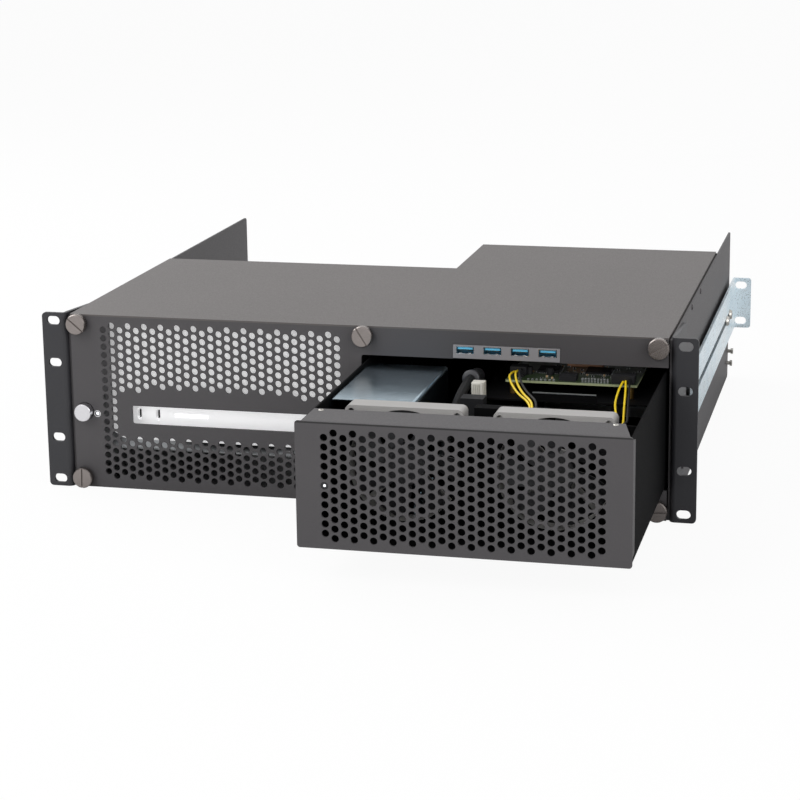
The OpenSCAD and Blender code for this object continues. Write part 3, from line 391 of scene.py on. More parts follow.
@dataclass(frozen=True)
class SolderMask(Finish):
    """Lacquer over a copper pattern, whose tracks stand up under the gloss.

    pitch is in mm, and run, row and gap are shares of it.
    """

    depth: float = 0.04
    strength: float = 0.3
    track: str = "#3f8a5c"
    track_share: float = 0.7
    pitch: float = 2.4
    run: float = 2.5
    row: float = 0.5
    gap: float = 0.06

    def detail(self, paint: Paint) -> None:
        """Adds runs of tracks that step across the board at 45 degrees.

        Args:
            paint: The material.
        """
        turned = add_node(paint.tree, "Mapping", {"Rotation": (0.0, 0.0, math.radians(45))},
                          {"Vector": paint.place})
        runs = add_node(paint.tree, "TexBrick", {"Scale": per_mm(self.pitch), "Mortar Size": self.gap,
                                                 "Brick Width": self.run, "Row Height": self.row},
                        {"Vector": turned.outputs["Vector"]})
        self.vary(paint, runs.outputs["Fac"], self.track, self.track_share)
        self.relief(paint, runs.outputs["Fac"])


@dataclass(frozen=True)
class Lens(Finish):
    """A small diffusing window over a lamp."""

    glow: float = 1.0

    def detail(self, paint: Paint) -> None:
        """Lets the lamp behind it show evenly."""
        paint.shader.inputs["Emission Color"].default_value = linear(self.colour)
        paint.shader.inputs["Emission Strength"].default_value = self.glow


# Steel powder-coated in textured charcoal: dull from the front, pale at a grazing look
CHARCOAL = PowderCoat("charcoal_powder_coat", "#403e40", 0.55, lighter="#484547")
# The sled's face: the same coat, with a dark line painted as the shade in the open joint under the lip
FACE_COAT = GapShadedCoat("gap_shaded_charcoal_powder_coat", "#403e40", 0.55, lighter="#484547")
# The same coat on the cover, made lighter and a little warmer than on the panel: the lighter tone is painted
# light on the top that faces the lamps, and it reads grey-brown under the top light
LIT_WARM_GREY = PowderCoat("lit_warm_grey_powder_coat", "#504c4b", 0.5, lighter="#575251")
# A denser black coat under the chassis: almost no tone of its own
BLACK_COAT = PowderCoat("black_powder_coat", "#2c2b2e", 0.5, lighter="#323134")
# The ears are a shade blacker, with a cold tone
EAR_COAT = PowderCoat("ear_powder_coat", "#232327", 0.48, lighter="#29292d")
# Walls inside the bays and the tray: a black coat, made a dead matte near black that swallows the lamps, as
# painted shade deep in the chassis
INNER_BLACK_AND_SHADE = PowderCoat("inner_black_coat_and_painted_shade", "#0b0b0c", 0.75, ior=1.12, lighter="#101011")
# The data port plate has a finer grey coat, a shade lighter than the panel
PLATE_GREY = PowderCoat("grey_powder_coat", "#89878a", 0.46, grit=0.6, lighter="#929093")
# Blue passivated zinc on the sliding brackets: a cold, cloudy shine
ZINC = PlatedSteel("blue_zinc_plate", "#d3e5ef", 0.32, 0.6, cloud="#e6f0f5")
# Galvanised sheet of the supply's shell: a cold mirror, faintly spangled
GALVANISED = Galvanised("galvanised_steel", "#a9bfcc", 0.2, 1.0)
# Plain steel of the computer's shelf and the slot covers
BRIGHT_STEEL = PlatedSteel("bright_steel", "#a5a8aa", 0.36, 1.0, cloud="#b8babb")
# Black nickel on turned steel thumbscrews: dark, with lathe rings
BLACK_NICKEL = Turned("black_nickel", "#8b8481", 0.32, 1.0)
# Small dark screws
SCREW_STEEL = PlatedSteel("dark_screw_steel", "#4a4749", 0.38, 1.0, cloud="#565355")
# Zinc screws and studs
ZINC_SCREW = PlatedSteel("zinc_screw_steel", "#b3b0aa", 0.3, 1.0, cloud="#c6c4bf")
# Solid turned aluminium button: bright rings
TURNED_ALUMINIUM = Turned("turned_aluminium", "#d6d5d8", 0.24, 1.0)
# Bead-blasted, clear-anodised aluminium housing of the computer, with a faint glow of painted light so that
# it shows bright in its shaded bay
ANODISED = Blasted("anodised_aluminium_painted_glow", "#f7f7f8", 0.4, 0.15, edge=0.4)
# Nickel on the stamped port shells
NICKEL = Finish("nickel_plate", "#c4c5c7", 0.2, 1.0)
# Gold flash on contacts
GOLD = Finish("gold_contacts", "#d9b45c", 0.25, 1.0, edge=0.05)
# Tinned leads and solder
TIN = Finish("tinned_leads", "#c9cbcd", 0.3, 1.0, edge=0.05)
# Turned brass standoffs
BRASS = Finish("brass_standoffs", "#c79f58", 0.3, 1.0)
# Pale blue moulded port tongues
BLUE_PLASTIC = Finish("blue_port_plastic", "#6fcdf5", 0.25)
# Glass-filled black plastic of connectors and sockets
BLACK_PLASTIC = Finish("black_connector_plastic", "#141416", 0.5, ior=1.35)
# Epoxy of chip packages: black with a dull, dusty face
CHIP_EPOXY = Finish("chip_epoxy", "#18181a", 0.55, ior=1.35, edge=0.1)
# Milky grey plastic of the fan frames, slightly glossy
FAN_PLASTIC = Finish("grey_fan_plastic", "#a5a3a1", 0.34, edge=0.5)
# The rotors are made darker than the frames and dull: painted shade behind the face, so the vents in front of
# them look deep
SHADED_ROTOR_PLASTIC = Finish("rotor_plastic_painted_shade", "#2b2b2e", 0.5, edge=0.3)
# White slippery plastic of the glide strips
GLIDE_PLASTIC = Finish("white_glide_plastic", "#e4e2dc", 0.4)
# Natural nylon of the power plug's housing
NYLON = Finish("natural_nylon", "#d8d5cc", 0.35)
# Dark olive lacquer over copper on the boards
SOLDER_MASK = SolderMask("green_solder_mask", "#26331d", 0.3, track="#34452a")
# Bare glass laminate where a board is cut: a pale olive line
LAMINATE = Finish("bare_laminate", "#9aa27c", 0.6, edge=0.02)
# Copper of coils and crimped contacts
COPPER = Finish("copper", "#b98b70", 0.4, 0.6, edge=0.1)
# Soft jacket of the supply cable
CABLE_RUBBER = Finish("black_cable_jacket", "#0b0b0c", 0.5, ior=1.3)
# Insulation of the fan leads
YELLOW_WIRE = Finish("yellow_wire_insulation", "#efcf1b", 0.38)
BLACK_WIRE = Finish("black_wire_insulation", "#0b0b0c", 0.5, ior=1.3)
# Tan bodies of ceramic chips
CERAMIC = Finish("tan_ceramic", "#b08f63", 0.4, edge=0.05)
# Shadow in the cross recess of a small screw
RECESS = Finish("screw_recess", "#0b0b0c", 0.7, edge=0.02)
# Dark parts in the open front of the supply
SUPPLY_PARTS = Finish("supply_parts", "#101011", 0.6)
# Collar moulded on the cable's plug: a greyer rubber with a soft shine
CABLE_COLLAR = Finish("cable_collar_rubber", "#3a3a3e", 0.35, edge=0.3)
# Smoked window in the sled's face: dark but for the lamp in its middle
SMOKED_LENS = Finish("smoked_lens", "#1c1c1f", 0.2)
# The lit middle of the status light, and the end of the light pipe
LIGHT_LENS = Lens("status_light_lens", "#f4f6fa", 0.3, glow=0.9)
# Screen-printed white ring round the peephole
WHITE_INK = Finish("white_ink", "#e9e9ea", 0.5, edge=0.02)


@dataclass(frozen=True)
class Block:
    """A block between two corners, in mm from where it is put, and its copies along x."""

    low: Point
    high: Point
    bevel: float = 0.0
    count: int = 1
    pitch: float = 0.0


class Sheet:
    """A small mesh, drawn in mm in the row frame, that becomes a piece on a body of the chassis."""

    def __init__(self) -> None:
        """Starts with nothing drawn."""
        self.mesh = bmesh.new()

    def publish(self, name: str, finish: Finish, body: str, smooth: bool = False) -> Piece:
        """Turns the mesh into a piece that rides on a body.

        Args:
            name: The piece's name.
            finish: Its surface.
            body: The body that carries it.
            smooth: Whether its faces are shaded smooth.

        Returns:
            The new object.
        """
        bmesh.ops.scale(self.mesh, vec=(MM, MM, MM), verts=self.mesh.verts)
        bmesh.ops.recalc_face_normals(self.mesh, faces=self.mesh.faces)
        data = bpy.data.meshes.new(name)
        self.mesh.to_mesh(data)
        self.mesh.free()
        for face in data.polygons:
            face.use_smooth = smooth
        piece = bpy.data.objects.new(name, data)
        bpy.context.scene.collection.objects.link(piece)
        data.materials.append(finish.material())
        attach(piece, body)
        return piece

    def put(self, *blocks: Block, at: Point = (0.0, 0.0, 0.0)) -> "Sheet":
        """Adds blocks and their copies.

        Args:
            blocks: The blocks.
            at: Where they are put.

        Returns:
            This sheet.
        """
        for block in blocks:
            for k in range(block.count):
                shift = Vector(at) + Vector((block.pitch * k, 0, 0))
                self.block(shift + Vector(block.low), shift + Vector(block.high), block.bevel)
        return self

    def block(self, low: Point, high: Point, bevel: float = 0.0) -> None:
        """Adds one block.

        Args:
            low: Its lowest corner.
            high: Its highest corner.
            bevel: How far its edges are broken.
        """
        size = Vector(high) - Vector(low)
        middle = (Vector(high) + Vector(low)) / 2
        place = Matrix.Translation(middle) @ Matrix.Diagonal((*size, 1.0))
        made = bmesh.ops.create_cube(self.mesh, size=1.0, matrix=place)
        edges = {e for v in made["verts"] for e in v.link_edges}
        if bevel:
            bmesh.ops.bevel(self.mesh, geom=list(edges), offset=min(bevel, min(size) * 0.3), segments=2,
                            affect="EDGES", profile=0.5)

    def spun(self, profile: Profile, centre: Point, axis: Point, sides: int = 32,
             closed: bool = False) -> None:
        """Adds a turned form.

        Args:
            profile: Radius and height of each ring, from the bottom to the top.
            centre: Where height zero is.
            axis: The way that the height runs.
            sides: Number of sides.
            closed: Whether the last ring joins the first, as on a washer.
        """
        turn = Vector(axis).to_track_quat("Z", "Y").to_matrix()
        rings = []
        for radius, height in profile:
            ring = []
            for k in range(sides):
                angle = 2 * math.pi * k / sides
                spot = Vector((radius * math.cos(angle), radius * math.sin(angle), height))
                ring.append(self.mesh.verts.new(Vector(centre) + turn @ spot))
            rings.append(ring)
        for low, high in zip(rings, rings[1:] + (rings[:1] if closed else [])):
            for k in range(sides):
                self.mesh.faces.new((low[k], low[(k + 1) % sides], high[(k + 1) % sides], high[k]))
        if not closed:
            self.mesh.faces.new(list(reversed(rings[0])))
            self.mesh.faces.new(rings[-1])


def islands(name: str) -> list[Box]:
    """Finds the box of each separate solid of a CAD node.

    Args:
        name: The node.

    Returns:
        The lowest and highest corner of each solid, in mm.
    """
    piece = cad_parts[name]
    mesh = bmesh.new()
    mesh.from_mesh(piece.data)
    mesh.transform(piece.matrix_world)
    bmesh.ops.remove_doubles(mesh, verts=mesh.verts, dist=1e-6)
    seen = set()
    found = []
    for start in mesh.verts:
        if start in seen:
            continue
        seen.add(start)
        ends, spots = [start], []
        while ends:
            vert = ends.pop()
            spots.append(vert.co / MM)
            fresh = {edge.other_vert(vert) for edge in vert.link_edges} - seen
            seen |= fresh
            ends.extend(fresh)
        found.append((Vector([min(s[i] for s in spots) for i in range(3)]),
                      Vector([max(s[i] for s in spots) for i in range(3)])))
    mesh.free()
    return found


@dataclass
class Lead:
    """A wire along chosen points, in mm."""

    name: str
    points: list[Point]
    diameter: float
    finish: Finish
    body: str
    steps: int = 8

    def build(self) -> Piece:
        """Makes the lead as a round curve.

        Returns:
            The curve object.
        """
        curve = bpy.data.curves.new(self.name, "CURVE")
        curve.dimensions = "3D"
        curve.bevel_depth = self.diameter / 2 * MM
        curve.bevel_resolution = 4
        curve.use_fill_caps = True
        smooth = self.smooth()
        line = curve.splines.new("POLY")
        line.points.add(len(smooth) - 1)
        for spot, point in zip(line.points, smooth):
            spot.co = (*(point * MM), 1.0)
        line.use_smooth = True
        piece = bpy.data.objects.new(self.name, curve)
        bpy.context.scene.collection.objects.link(piece)
        curve.materials.append(self.finish.material())
        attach(piece, self.body)
        return piece

    def smooth(self) -> list[Vector]:
        """Runs a smooth curve through the chosen points.

        Returns:
            The points of the curve.
        """
        route = [Vector(p) for p in self.points]
        out = []
        for i in range(len(route) - 1):
            a, b, c, d = (route[max(i - 1, 0)], route[i], route[i + 1],
                          route[min(i + 2, len(route) - 1)])
            for k in range(self.steps):
                t = k / self.steps
                out.append(0.5 * (2 * b + (c - a) * t + (2 * a - 5 * b + 4 * c - d) * t ** 2
                                  + (3 * b - a - 3 * c + d) * t ** 3))
        out.append(route[-1])
        return out


@dataclass
class CrossRecess:
    """The near black cross of painted shade in the recess that a driver fits, on the outer face of each screw
    of a row.

    span_share is the cross's span as a share of the head, and arm_share an arm's width as a share
    of the span.
    """

    span_share: float = 0.52
    arm_share: float = 0.2
    depth: float = 0.3
    proud: float = 0.05

    def mark(self, name: str, screws: str, axis: Axis, body: str) -> Piece:
        """Marks the heads, which face outward along their axis.

        Args:
            name: The new piece's name.
            screws: The node of the screws.
            axis: The axis that they lie along.
            body: The body that carries them.

        Returns:
            One object with all the recesses.
        """
        along = axis.value
        across = [i for i in range(3) if i != along]
        mesh = Sheet()
        for low, high in islands(screws):
            middle = (low + high) / 2
            side = 1 if middle[along] > 0 else -1
            face = high[along] if side > 0 else low[along]
            reach = (high[across[0]] - low[across[0]]) * self.span_share / 2
            for wide, narrow in (across, reversed(across)):
                a, b = middle.copy(), middle.copy()
                a[wide] -= reach
                b[wide] += reach
                a[narrow] -= reach * self.arm_share
                b[narrow] += reach * self.arm_share
                a[along], b[along] = sorted((face - side * self.depth, face + side * self.proud))
                mesh.block(a, b)
        return mesh.publish(name, RECESS, body)


class Assembly:
    """A group of pieces that comes off the bench as one: its nodes, their finishes and its small detail."""

    def surfaces(self) -> dict[str, Finish]:
        """Gives the finish of each CAD node of this assembly."""
        raise NotImplementedError

    def details(self) -> list[Piece]:
        """Builds the detail that is too small for the CAD nodes. Not every assembly has some."""
        return []

    def build(self) -> None:
        """Dresses the nodes, then adds the detail, and reports each piece."""
        for name, finish in self.surfaces().items():
            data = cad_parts[name].data
            data.materials.clear()
            data.materials.append(finish.material())
            LOG.info("%s is %s", name, finish.name)
        for piece in self.details():
            LOG.info("%s added by %s", piece.name, type(self).__name__)


@dataclass
class Shell(Assembly):
    """Cover, pan, sides and inner walls of the chassis. Lengths are in mm, here and below."""

    ribs: int = 3
    rib_width: float = 1.2
    rib_height: float = 0.12
    rib_in: float = 2.0

    def surfaces(self) -> dict[str, Finish]:
        """The cover is a warmer grey than the sides, painted lighter for the light on its top, and the inner
        walls are near black, darkened as painted shade.
        """
        inner = {name: INNER_BLACK_AND_SHADE for name in ("bay_divider", "bay_floor", "rear_frame")}
        return {**inner, "top_cover": LIT_WARM_GREY, "base_pan": BLACK_COAT, "side_plate_left": CHARCOAL,
                "side_plate_right": CHARCOAL, "slide_strips": GLIDE_PLASTIC}

    def details(self) -> list[Piece]:
        """Adds lengthwise ribs on the glide strips that the sled rides on.

        Returns:
            The ribs.
        """
        mesh = Sheet()
        half = self.rib_width / 2
        for low, high in islands("slide_strips"):
            step = (high.x - low.x) / self.ribs
            for k in range(self.ribs):
                middle = low.x + (k + 0.5) * step
                mesh.block((middle - half, low.y + self.rib_in, high.z),
                           (middle + half, high.y - self.rib_in, high.z + self.rib_height))
        return [mesh.publish("glide_ribs", GLIDE_PLASTIC, "chassis")]


@dataclass
class RackEars(Assembly):
    """Ears at both sides of the front, with the small screws that hold them and the cover."""

    recess: CrossRecess = field(default_factory=lambda: CrossRecess(0.5))

    def surfaces(self) -> dict[str, Finish]:
        """Both ears have the dense black coat."""
        return {"rack_ear_left": EAR_COAT, "rack_ear_right": EAR_COAT, "side_screws": SCREW_STEEL}

    def details(self) -> list[Piece]:
        """Marks the cross recesses of the small screws."""
        return [self.recess.mark("side_screw_recesses", "side_screws", Axis.X, "chassis")]


@dataclass
class FrontPanel(Assembly):
    """Vented panel, frame of the sled's bay, button, peephole and thumbscrews."""

    hole: Pair = (-202.0, -9.75)
    ring: Profile = ((2.05, 0.0), (2.5, 0.0), (2.5, 0.05), (2.05, 0.05))
    pipe: Profile = ((1.4, 0.0), (1.4, 1.6), (0.98, 2.0))
    pipe_back: float = 2.4

    def surfaces(self) -> dict[str, Finish]:
        """Charcoal sheets, a bright turned button and dark turned screws."""
        screws = {name: BLACK_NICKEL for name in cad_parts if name.startswith("thumbscrew")}
        return {**screws, "front_grille": CHARCOAL, "front_bay_frame": CHARCOAL,
                "power_button": TURNED_ALUMINIUM, "power_switch": BLACK_PLASTIC}

    def details(self) -> list[Piece]:
        """Adds a printed ring round the peephole, and the light pipe that ends in it.

        Returns:
            The ring and the pipe.
        """
        x, z = self.hole
        ring, pipe = Sheet(), Sheet()
        ring.spun(self.ring, (x, 0, z), FORWARD, closed=True)
        pipe.spun(self.pipe, (x, self.pipe_back, z), FORWARD)
        return [ring.publish("peephole_ring", WHITE_INK, "chassis"),
                pipe.publish("light_pipe", LIGHT_LENS, "chassis", smooth=True)]


@dataclass
class DataPorts(Assembly):
    """The plate with four data ports, and the board behind it."""

    contacts: Block = Block((-3.99, 1.1, -2.9), (-3.29, 6.1, -2.65), 0.0, 5, 1.82)
    springs: Block = Block((-4.1, 0.5, 0.42), (-2.3, 4.0, 0.8), 0.1, 2, 6.4)

    def surfaces(self) -> dict[str, Finish]:
        """Pale blue tongues in nickel shells."""
        return {"usb_plate": PLATE_GREY, "usb_shells": NICKEL, "usb_tongues": BLUE_PLASTIC,
                "usb_board": SOLDER_MASK}

    def details(self) -> list[Piece]:
        """Adds bright contacts under each tongue, and the folded springs in each shell.

        Returns:
            The contacts and the springs.
        """
        contacts, springs = Sheet(), Sheet()
        for low, high in islands("usb_shells"):
            middle = (low.x + high.x) / 2
            contacts.put(self.contacts, at=(middle, 0, high.z))
            springs.put(self.springs, at=(middle, 0, low.z))
        return [contacts.publish("port_contacts", GOLD, "chassis"),
                springs.publish("port_springs", NICKEL, "chassis")]


@dataclass
class Computer(Assembly):
    """The small computer in the left bay, on its shelf."""

    def surfaces(self) -> dict[str, Finish]:
        """Bead-blasted housing on a black foot and a plain steel shelf."""
        return {"host_housing": ANODISED, "host_base": BLACK_PLASTIC, "host_tongues": BLACK_PLASTIC,
                "host_shelf": BRIGHT_STEEL}


@dataclass
class Sled(Assembly):
    """Tray, face, lip and rear panel of the pull-out sled."""

    lamp: Profile = ((0.9, 0.0), (0.9, 0.125), (0.54, 0.25))
    pins: tuple[Block, ...] = (Block((-8.0, -18.0, -3.5), (-6.0, -6.0, 0.5), 0.3, 2, 14.0),
                               Block((-1.0, -18.0, 0.0), (1.0, -6.0, 4.0), 0.3))

    def surfaces(self) -> dict[str, Finish]:
        """The face has the panel's coat. All behind it is near black."""
        return {"sled_face": FACE_COAT, "sled_return": CHARCOAL, "sled_lip": CHARCOAL,
                "sled_tray": INNER_BLACK_AND_SHADE, "sled_rear_panel": INNER_BLACK_AND_SHADE, "slot_covers": BRIGHT_STEEL,
                "sled_screws": ZINC_SCREW, "status_light": SMOKED_LENS, "inlet_socket": BLACK_PLASTIC}

    def details(self) -> list[Piece]:
        """Adds the lip screws' recesses, the lit spot in the status light and the inlet's pins.

        Returns:
            The three pieces.
        """
        lamp, pins = Sheet(), Sheet()
        low, high = islands("status_light")[0]
        middle = (low + high) / 2
        lamp.spun(self.lamp, (middle.x, low.y, middle.z), FORWARD)
        low, high = islands("inlet_socket")[0]
        middle = (low + high) / 2
        pins.put(*self.pins, at=(middle.x, high.y, middle.z))
        return [CrossRecess().mark("lip_screw_recesses", "sled_screws", Axis.Z, "sled"),
                lamp.publish("status_lamp", LIGHT_LENS, "sled", smooth=True),
                pins.publish("inlet_pins", NICKEL, "sled")]


@dataclass
class Fans(Assembly):
    """Two fans on their bracket behind the sled's face, with their leads."""

    lead: float = 1.5
    bows: dict[str, list[Point]] = field(default_factory=lambda: {
        "left": [(112.4, 1.8, 36.4), (111.9, -9, 37.9), (113.6, -26, 39.6), (119.6, -49, 40.2),
                 (128.4, -72, 39.8), (137.4, -90, 39.7), (141.4, -100, 38.2), (142.2, -106.4, 35.0)],
        "right": [(190.2, -9.4, 35.4), (189.4, -24, 33.2), (189.8, -44, 28.8), (194.2, -69, 26.2),
                  (197.6, -89, 26.4), (196.3, -106.4, 28.2)]})

    def surfaces(self) -> dict[str, Finish]:
        """Milky grey frames, rotors darkened as painted shade and a near black bracket."""
        return {"fan_frame_left": FAN_PLASTIC, "fan_frame_right": FAN_PLASTIC,
                "fan_rotor_left": SHADED_ROTOR_PLASTIC, "fan_rotor_right": SHADED_ROTOR_PLASTIC,
                "fan_bracket": INNER_BLACK_AND_SHADE, "fan_leads_yellow": YELLOW_WIRE, "fan_leads_black": BLACK_WIRE}

    def details(self) -> list[Piece]:
        """Adds the second yellow strand of each fan, which bows away from the first."""
        return [Lead(f"fan_strand_{side}", points, self.lead, YELLOW_WIRE, "sled").build()
                for side, points in self.bows.items()]


@dataclass
class PowerSupply(Assembly):
    """The supply's shell and what stands in it, with its cable to the backplane."""

    collar_at: Point = (84.0, -13.0, 33.7)
    collar_way: Point = (0.0, -0.99, 0.139)
    collar: Profile = ((5.6, 0.0), (6.2, 0.5), (6.2, 2.2), (5.7, 2.7), (5.2, 2.9))
    rivet: Profile = ((1.6, 0.0), (1.28, 0.35), (0.3, 0.5))
    rivet_sides: int = 20
    rivet_up: float = 12.0
    rivet_front: float = 16.0
    rivet_rear: float = 12.0

    def surfaces(self) -> dict[str, Finish]:
        """Galvanised shell round dark parts."""
        return {"psu_case": GALVANISED, "psu_parts": SUPPLY_PARTS, "supply_cable": CABLE_RUBBER}

    def details(self) -> list[Piece]:
        """Adds the collar of the cable's plug and a row of rivets, and shades the shell's broad faces flat.

        Returns:
            The collar and the rivets.
        """
        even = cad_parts["psu_case"].modifiers.new("flat_faces", "WEIGHTED_NORMAL")
        even.weight = 100
        collar, rivets = Sheet(), Sheet()
        collar.spun(self.collar, self.collar_at, self.collar_way)
        low, high = islands("psu_case")[0]
        for y in (low.y + self.rivet_front, (low.y + high.y) / 2, high.y - self.rivet_rear):
            rivets.spun(self.rivet, (high.x, y, low.z + self.rivet_up), (1, 0, 0), self.rivet_sides)
        return [collar.publish("cable_collar", CABLE_COLLAR, "sled", smooth=True),
                rivets.publish("supply_rivets", GALVANISED, "sled", smooth=True)]


@dataclass
class CarrierBoard(Assembly):
    """The upper board with its chips, headers and small parts, on standoffs."""

    edge: float = 0.06
    chip_side: float = 10.0
    chip_height: float = 2.2
    pin_pitch: float = 1.27
    pin_width: float = 0.5
    pin_reach: float = 1.1
    pin_z: Pair = (0.02, 0.32)
    lead_width: float = 1.6
    cap_low: Point = (-0.03, -0.03, 0.05)
    cap_high: Point = (0.03, 0.03, 0.05)
    cap_bevel: float = 0.1
    small_parts: int = 90
    tan_every: int = 3
    seed: int = 7
    strip_x: float = 3.0
    strip_y: Pair = (1.5, 48.0)
    grid: Pair = (1.5, 2.0)
    clearance: float = 2.2
    small_size: Pair = (1.2, 1.0)
    small_length: float = 2.0
    small_heights: tuple[float, ...] = (0.55, 0.8, 1.1)
    small_bevel: float = 0.05
    end_out: float = 0.8
    end_width: float = 0.4
    coil: Block = Block((144.0, 34.0, 0.0), (170.0, 41.0, 4.2), 0.5)

    def surfaces(self) -> dict[str, Finish]:
        """Olive board with black parts on brass standoffs."""
        return {"carrier_board": SOLDER_MASK, "board_parts": CHIP_EPOXY, "board_standoffs": BRASS}

    def details(self) -> list[Piece]:
        """Adds everything on the board that is finer than its main parts, and the low copper part."""
        coil = Sheet().put(self.coil, at=(0, 0, islands("carrier_board")[0][1].z))
        return [self.cut_edges(), self.chip_pins(), self.header_pins(), *self.small_chips(),
                coil.publish("copper_part", COPPER, "sled")]

    def cut_edges(self) -> Piece:
        """Adds bare laminate along the cut edges.

        Returns:
            The four strips.
        """
        mesh = Sheet()
        low, high = islands("carrier_board")[0]
        for axis in (1, 0):
            for near, far in ((low[axis] - self.edge, low[axis]), (high[axis], high[axis] + self.edge)):
                a, b = low.copy(), high.copy()
                a[axis], b[axis] = near, far
                mesh.block(a, b)
        return mesh.publish("board_edges", LAMINATE, "sled")

    def chip_pins(self) -> Piece:
        """Adds flat pins along all four sides of each large chip.

        Returns:
            The pins.
        """
        mesh = Sheet()
        half, reach = self.pin_width / 2, self.pin_reach
        for low, high in islands("board_parts"):
            size = high - low
            if size.z >= self.chip_height or min(size.x, size.y) <= self.chip_side:
                continue
            for axis, other in ((0, 1), (1, 0)):
                count = int(size[axis] / self.pin_pitch) - 1
                for k in range(count):
                    along = (low[axis] + high[axis]) / 2 + (k - (count - 1) / 2) * self.pin_pitch
                    for near, far in ((low[other] - reach, low[other]), (high[other], high[other] + reach)):
                        a = [0.0, 0.0, low.z + self.pin_z[0]]
                        b = [0.0, 0.0, low.z + self.pin_z[1]]
                        a[axis], b[axis] = along - half, along + half
                        a[other], b[other] = near, far
                        mesh.block(a, b)
        return mesh.publish("chip_pins", TIN, "sled")

    def header_pins(self) -> Piece:
        """Adds tinned caps on the narrow leads of the headers.

        Returns:
            The caps.
        """
        mesh = Sheet()
        for low, high in islands("board_parts"):
            if high.x - low.x < self.lead_width:
                mesh.block(low + Vector(self.cap_low), high + Vector(self.cap_high), self.cap_bevel)
        return mesh.publish("header_pins", TIN, "sled")

    def small_chips(self) -> list[Piece]:
        """Strews small ceramic and resistor chips, on a grid, between the main parts.

        Returns:
            The dark bodies, the tan bodies and their tinned ends.
        """
        low, high = islands("carrier_board")[0]
        taken = islands("board_parts")
        draw = random.Random(self.seed)
        dark, tan, ends = Sheet(), Sheet(), Sheet()
        half_x, half_y = self.small_size[0] / 2, self.small_size[1] / 2
        reach = Vector((self.small_length / 2, half_y, 0))
        for k in range(self.small_parts):
            x = draw.uniform(low.x + self.strip_x, high.x - self.strip_x)
            y = draw.uniform(low.y + self.strip_y[0], low.y + self.strip_y[1])
            x, y = round(x / self.grid[0]) * self.grid[0], round(y / self.grid[1]) * self.grid[1]
            c = self.clearance
            if any(a.x - c < x < b.x + c and a.y - c < y < b.y + c for a, b in taken):
                continue
            taken.append((Vector((x, y, 0)) - reach, Vector((x, y, 0)) + reach))
            top = high.z + draw.choice(self.small_heights)
            body = dark if k % self.tan_every else tan
            body.block((x - half_x, y - half_y, high.z), (x + half_x, y + half_y, top), self.small_bevel)
            for end in (x - self.end_out, x + self.end_out):
                ends.block((end - self.end_width / 2, y - half_y, high.z),
                           (end + self.end_width / 2, y + half_y, top))
        return [dark.publish("resistors", CHIP_EPOXY, "sled"),
                tan.publish("ceramics", CERAMIC, "sled"),
                ends.publish("chip_ends", TIN, "sled")]


@dataclass
class Backplane(Assembly):
    """The upright board with its card slots, the tray beside it and the air guide.

    The power plug is a housing, its latch and its ribs, in that order.
    """

    plug: tuple[Block, ...] = (Block((88.2, -34.0, 19.6), (97.2, -25.6, 36.2), 0.6),
                               Block((94.6, -35.6, 25.6), (96.6, -34.0, 36.8), 0.3),
                               Block((89.1, -34.5, 20.6), (89.8, -34.0, 35.2), 0.15, 4, 1.4))
    crimps: Block = Block((89.2, -34.9, 20.2), (91.6, -34.1, 23.8), 0.3, 2, 3.0)
    fold: Block = Block((129.0, -23.6, 23.0), (174.0, -22.4, 28.6), 0.1)
    fold_edge: Block = Block((129.2, -23.65, 27.9), (173.8, -22.35, 28.65))
    spring_pitch: float = 2.0
    spring_width: float = 0.7
    spring_in: float = 4.0
    spring_short: float = 0.6
    spring_half: Pair = (0.62, 0.95)
    key_share: float = 0.155
    key_half: float = 1.6

    def surfaces(self) -> dict[str, Finish]:
        """Olive board and black sockets beside near black sheets."""
        return {"backplane": SOLDER_MASK, "card_slots": BLACK_PLASTIC, "board_tray": INNER_BLACK_AND_SHADE,
                "air_guide": INNER_BLACK_AND_SHADE}

    def details(self) -> list[Piece]:
        """Adds the plug on the top edge, the fold of the tray with its bare edge, and the slots' contacts."""
        return [Sheet().put(*self.plug).publish("power_plug", NYLON, "sled"),
                Sheet().put(self.crimps).publish("plug_crimps", COPPER, "sled"),
                Sheet().put(self.fold).publish("tray_fold", INNER_BLACK_AND_SHADE, "sled"),
                Sheet().put(self.fold_edge).publish("tray_fold_edge", BRIGHT_STEEL, "sled"),
                self.slot_contacts()]

    def slot_contacts(self) -> Piece:
        """Adds gilded spring contacts down both sides of each card slot, but for its key.

        Returns:
            The contacts.
        """
        mesh = Sheet()
        for low, high in islands("card_slots"):
            middle = (low.z + high.z) / 2
            length = high.y - low.y
            key = low.y + self.key_share * length
            for k in range(int((length - 2 * self.spring_in) / self.spring_pitch)):
                y = low.y + self.spring_in + self.spring_pitch * k
                if abs(y - key) < self.key_half:
                    continue
                for side in (-1, 1):
                    a, b = sorted(middle + side * half for half in self.spring_half)
                    mesh.block((low.x + self.spring_in, y, a),
                               (high.x - self.spring_short, y + self.spring_width, b))
        return mesh.publish("slot_contacts", GOLD, "sled")


@dataclass
class RearBrackets(Assembly):
    """Zinc brackets that carry the rear of the chassis, with spacers, screws and studs."""

    recess: CrossRecess = field(default_factory=lambda: CrossRecess(0.6))

    def surfaces(self) -> dict[str, Finish]:
        """All of it is zinc plated."""
        return {"rear_bracket_left": ZINC, "rear_bracket_right": ZINC, "bracket_spacers": ZINC_SCREW,
                "bracket_screws": ZINC_SCREW, "side_studs": ZINC_SCREW}

    def details(self) -> list[Piece]:
        """Marks the cross recesses of the bracket screws."""
        return [self.recess.mark("bracket_screw_recesses", "bracket_screws", Axis.X, "chassis")]


